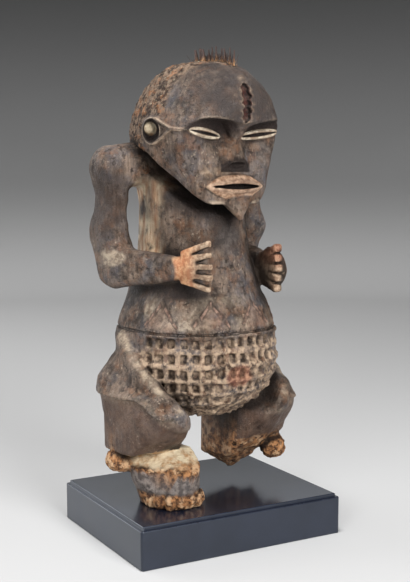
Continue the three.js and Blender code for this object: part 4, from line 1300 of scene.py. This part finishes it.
def quill_material():
    made, tree, shader, place = material("dark_quill")
    grain = grained(tree, place, 2500.0, 0.05)
    share = add(tree, "ShaderNodeAttribute", attribute_name="share").outputs["Fac"]
    pale = times(tree, spread(tree, share, 0.55, 0.1), mottled(tree, place, 160.0, 0.35, 0.6))
    dark = tint(tree, grain, (0.014, 0.009, 0.008, 1), (0.07, 0.028, 0.018, 1))
    fill(tree, shader, {
        "Base Color": lay(tree, dark, (pale, 0.85, (0.5, 0.27, 0.12, 1))), "Roughness": 0.55,
        "Normal": bumps(tree, grain, 0.3, 0.0002),
    })
    return made


def plinth_material():
    made, tree, shader, place = material("black_satin_paint")
    patches = mottled(tree, place, 30.0, 0.3, 0.7)
    specks = mottled(tree, place, 900.0, 0.62, 0.7)
    black = tint(tree, patches, (0.009, 0.011, 0.02, 1), (0.014, 0.017, 0.03, 1))
    facing = add(tree, "ShaderNodeNewGeometry").outputs["Normal"]
    flat = add(tree, "ShaderNodeSeparateXYZ", {"Vector": facing}).outputs["Z"]
    gloss = spread(tree, flat, 0.8, 0.99, 0.36, 0.2)
    fill(tree, shader, {
        "Base Color": lay(tree, black, (specks, 0.35, (0.08, 0.08, 0.085, 1))),
        "Roughness": plus(tree, gloss, times(tree, patches, 0.05)),
        "Normal": bumps(tree, noise(tree, place, 700.0, 2.0), 0.05, 0.0003),
        "Specular Tint": (0.82, 0.9, 1.0, 1.0), "Coat Weight": 0.5, "Coat Tint": (0.9, 0.95, 1.0, 1.0),
        "Coat Roughness": 0.17,
    })
    return made


# The object

figure_piece = carve_figure()
figure_piece.data.materials.append(wood_material())
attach(figure_piece, "root")
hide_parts("figure")

quills = grow_quills(quill_material())
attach(quills, "root")
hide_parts(*["quill_%d" % (i + 1) for i in range(QUILLS["count"])])

plinth = plinth_block()
plinth.data.materials.append(plinth_material())
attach(plinth, "root")
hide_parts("plinth")


# Floor, light and camera

FLOOR = {"flat": 1.7, "bend": 0.6, "top": 2.2, "steps": 14, "sides": 96}


def studio_floor():
    """A round pale floor that curves up into a wall all round."""
    profile = [(0.0, 0.0), (FLOOR["flat"], 0.0)]
    for step in range(1, FLOOR["steps"] + 1):
        angle = step / FLOOR["steps"] * math.pi / 2
        ahead, up = FLOOR["bend"] * math.sin(angle), FLOOR["bend"] * (1 - math.cos(angle))
        profile.append((FLOOR["flat"] + ahead, up))
    profile.append((FLOOR["flat"] + FLOOR["bend"], FLOOR["top"]))
    points, faces, count = [(0.0, 0.0, 0.0)], [], FLOOR["sides"]
    for radius, z in profile[1:]:
        for i in range(count):
            angle = i / count * 2 * math.pi
            points.append((radius * math.cos(angle), radius * math.sin(angle), z))
    faces += [(0, 1 + i, 1 + (i + 1) % count) for i in range(count)]
    for row in range(len(profile) - 2):
        a, b = 1 + row * count, 1 + (row + 1) * count
        faces += [(a + i, b + i, b + (i + 1) % count, a + (i + 1) % count) for i in range(count)]
    mesh = bpy.data.meshes.new("studio_floor")
    mesh.from_pydata(points, [], faces)
    mesh.shade_smooth()
    return placed(mesh)


def floor_material():
    made, tree, shader, place = material("pale_floor")
    apart = add(tree, "ShaderNodeSeparateXYZ", {"Vector": place}).outputs
    flat = add(tree, "ShaderNodeCombineXYZ", {"X": apart["X"], "Y": apart["Y"]})
    far = add(tree, "ShaderNodeVectorMath", {0: flat}, operation="LENGTH").outputs["Value"]
    # Painted light: the floor grows lighter farther out, making up for the lamps' falloff; it grows darker
    # up the wall
    colour = tint(tree, spread(tree, far, 0.4, 2.6), (0.62, 0.62, 0.62, 1), (0.74, 0.74, 0.74, 1))
    for low, high, grey in ((-0.1, 0.3, 0.27), (0.2, 0.95, 0.075)):
        colour = tint(tree, spread(tree, apart["Z"], low, high), colour, (grey, grey, grey, 1))
    fill(tree, shader, {"Base Color": colour, "Roughness": 0.85, "Specular IOR Level": 0.2})
    return made


SOFTBOXES = {
    "front_softbox": {"at": (0.05, -1.45, 0.85), "aim": (0, 0, 0.18), "size": (0.6, 0.6), "watts": 24},
    "side_softbox": {"at": (-1.1, -0.95, 0.8), "aim": (0, 0, 0.2), "size": (0.5, 0.7), "watts": 6},
    "overhead_softbox": {"at": (-0.2, -0.2, 1.7), "aim": (0, 0, 0.2), "size": (0.4, 0.4), "watts": 20},
    "left_softbox": {"at": (-1.15, 1.2, 0.6), "aim": (0, 0, 0.1), "size": (1.5, 1.0), "watts": 17},
    "back_softbox": {"at": (0.9, 1.7, 1.0), "aim": (0, 0, 0.1), "size": (1.6, 0.8), "watts": 2.5},
}
WORLD_LIGHT = 0.15
CAMERA = {"at": (-0.469791, -0.846261, 0.326655), "down": 6.6, "turn": -29.31, "lens": 67.7}


def softbox(name, at, aim, size, watts):
    light = bpy.data.lights.new(name, "AREA")
    light.shape = "RECTANGLE"
    light.size, light.size_y = size
    light.energy = watts
    lamp = placed(light)
    lamp.location = at
    lamp.rotation_euler = (Vector(aim) - Vector(at)).to_track_quat("-Z", "Y").to_euler()
    lamp.visible_camera = False


floor = studio_floor()
floor.data.materials.append(floor_material())

for name, box in SOFTBOXES.items():
    softbox(name, **box)

world = bpy.data.worlds.new("studio")
world.use_nodes = True
fill(world.node_tree, world.node_tree.nodes["Background"].inputs, {
    "Color": (1, 1, 1, 1), "Strength": WORLD_LIGHT})
bpy.context.scene.world = world
bpy.context.scene.view_settings.view_transform = "Standard"

camera_data = bpy.data.cameras.new("camera")
camera_data.lens = CAMERA["lens"]
camera_data.clip_start = 0.05
camera_data.clip_end = 20
camera = placed(camera_data)
camera.location = CAMERA["at"]
camera.rotation_euler = (math.radians(90 - CAMERA["down"]), 0, math.radians(CAMERA["turn"]))
bpy.context.scene.camera = camera
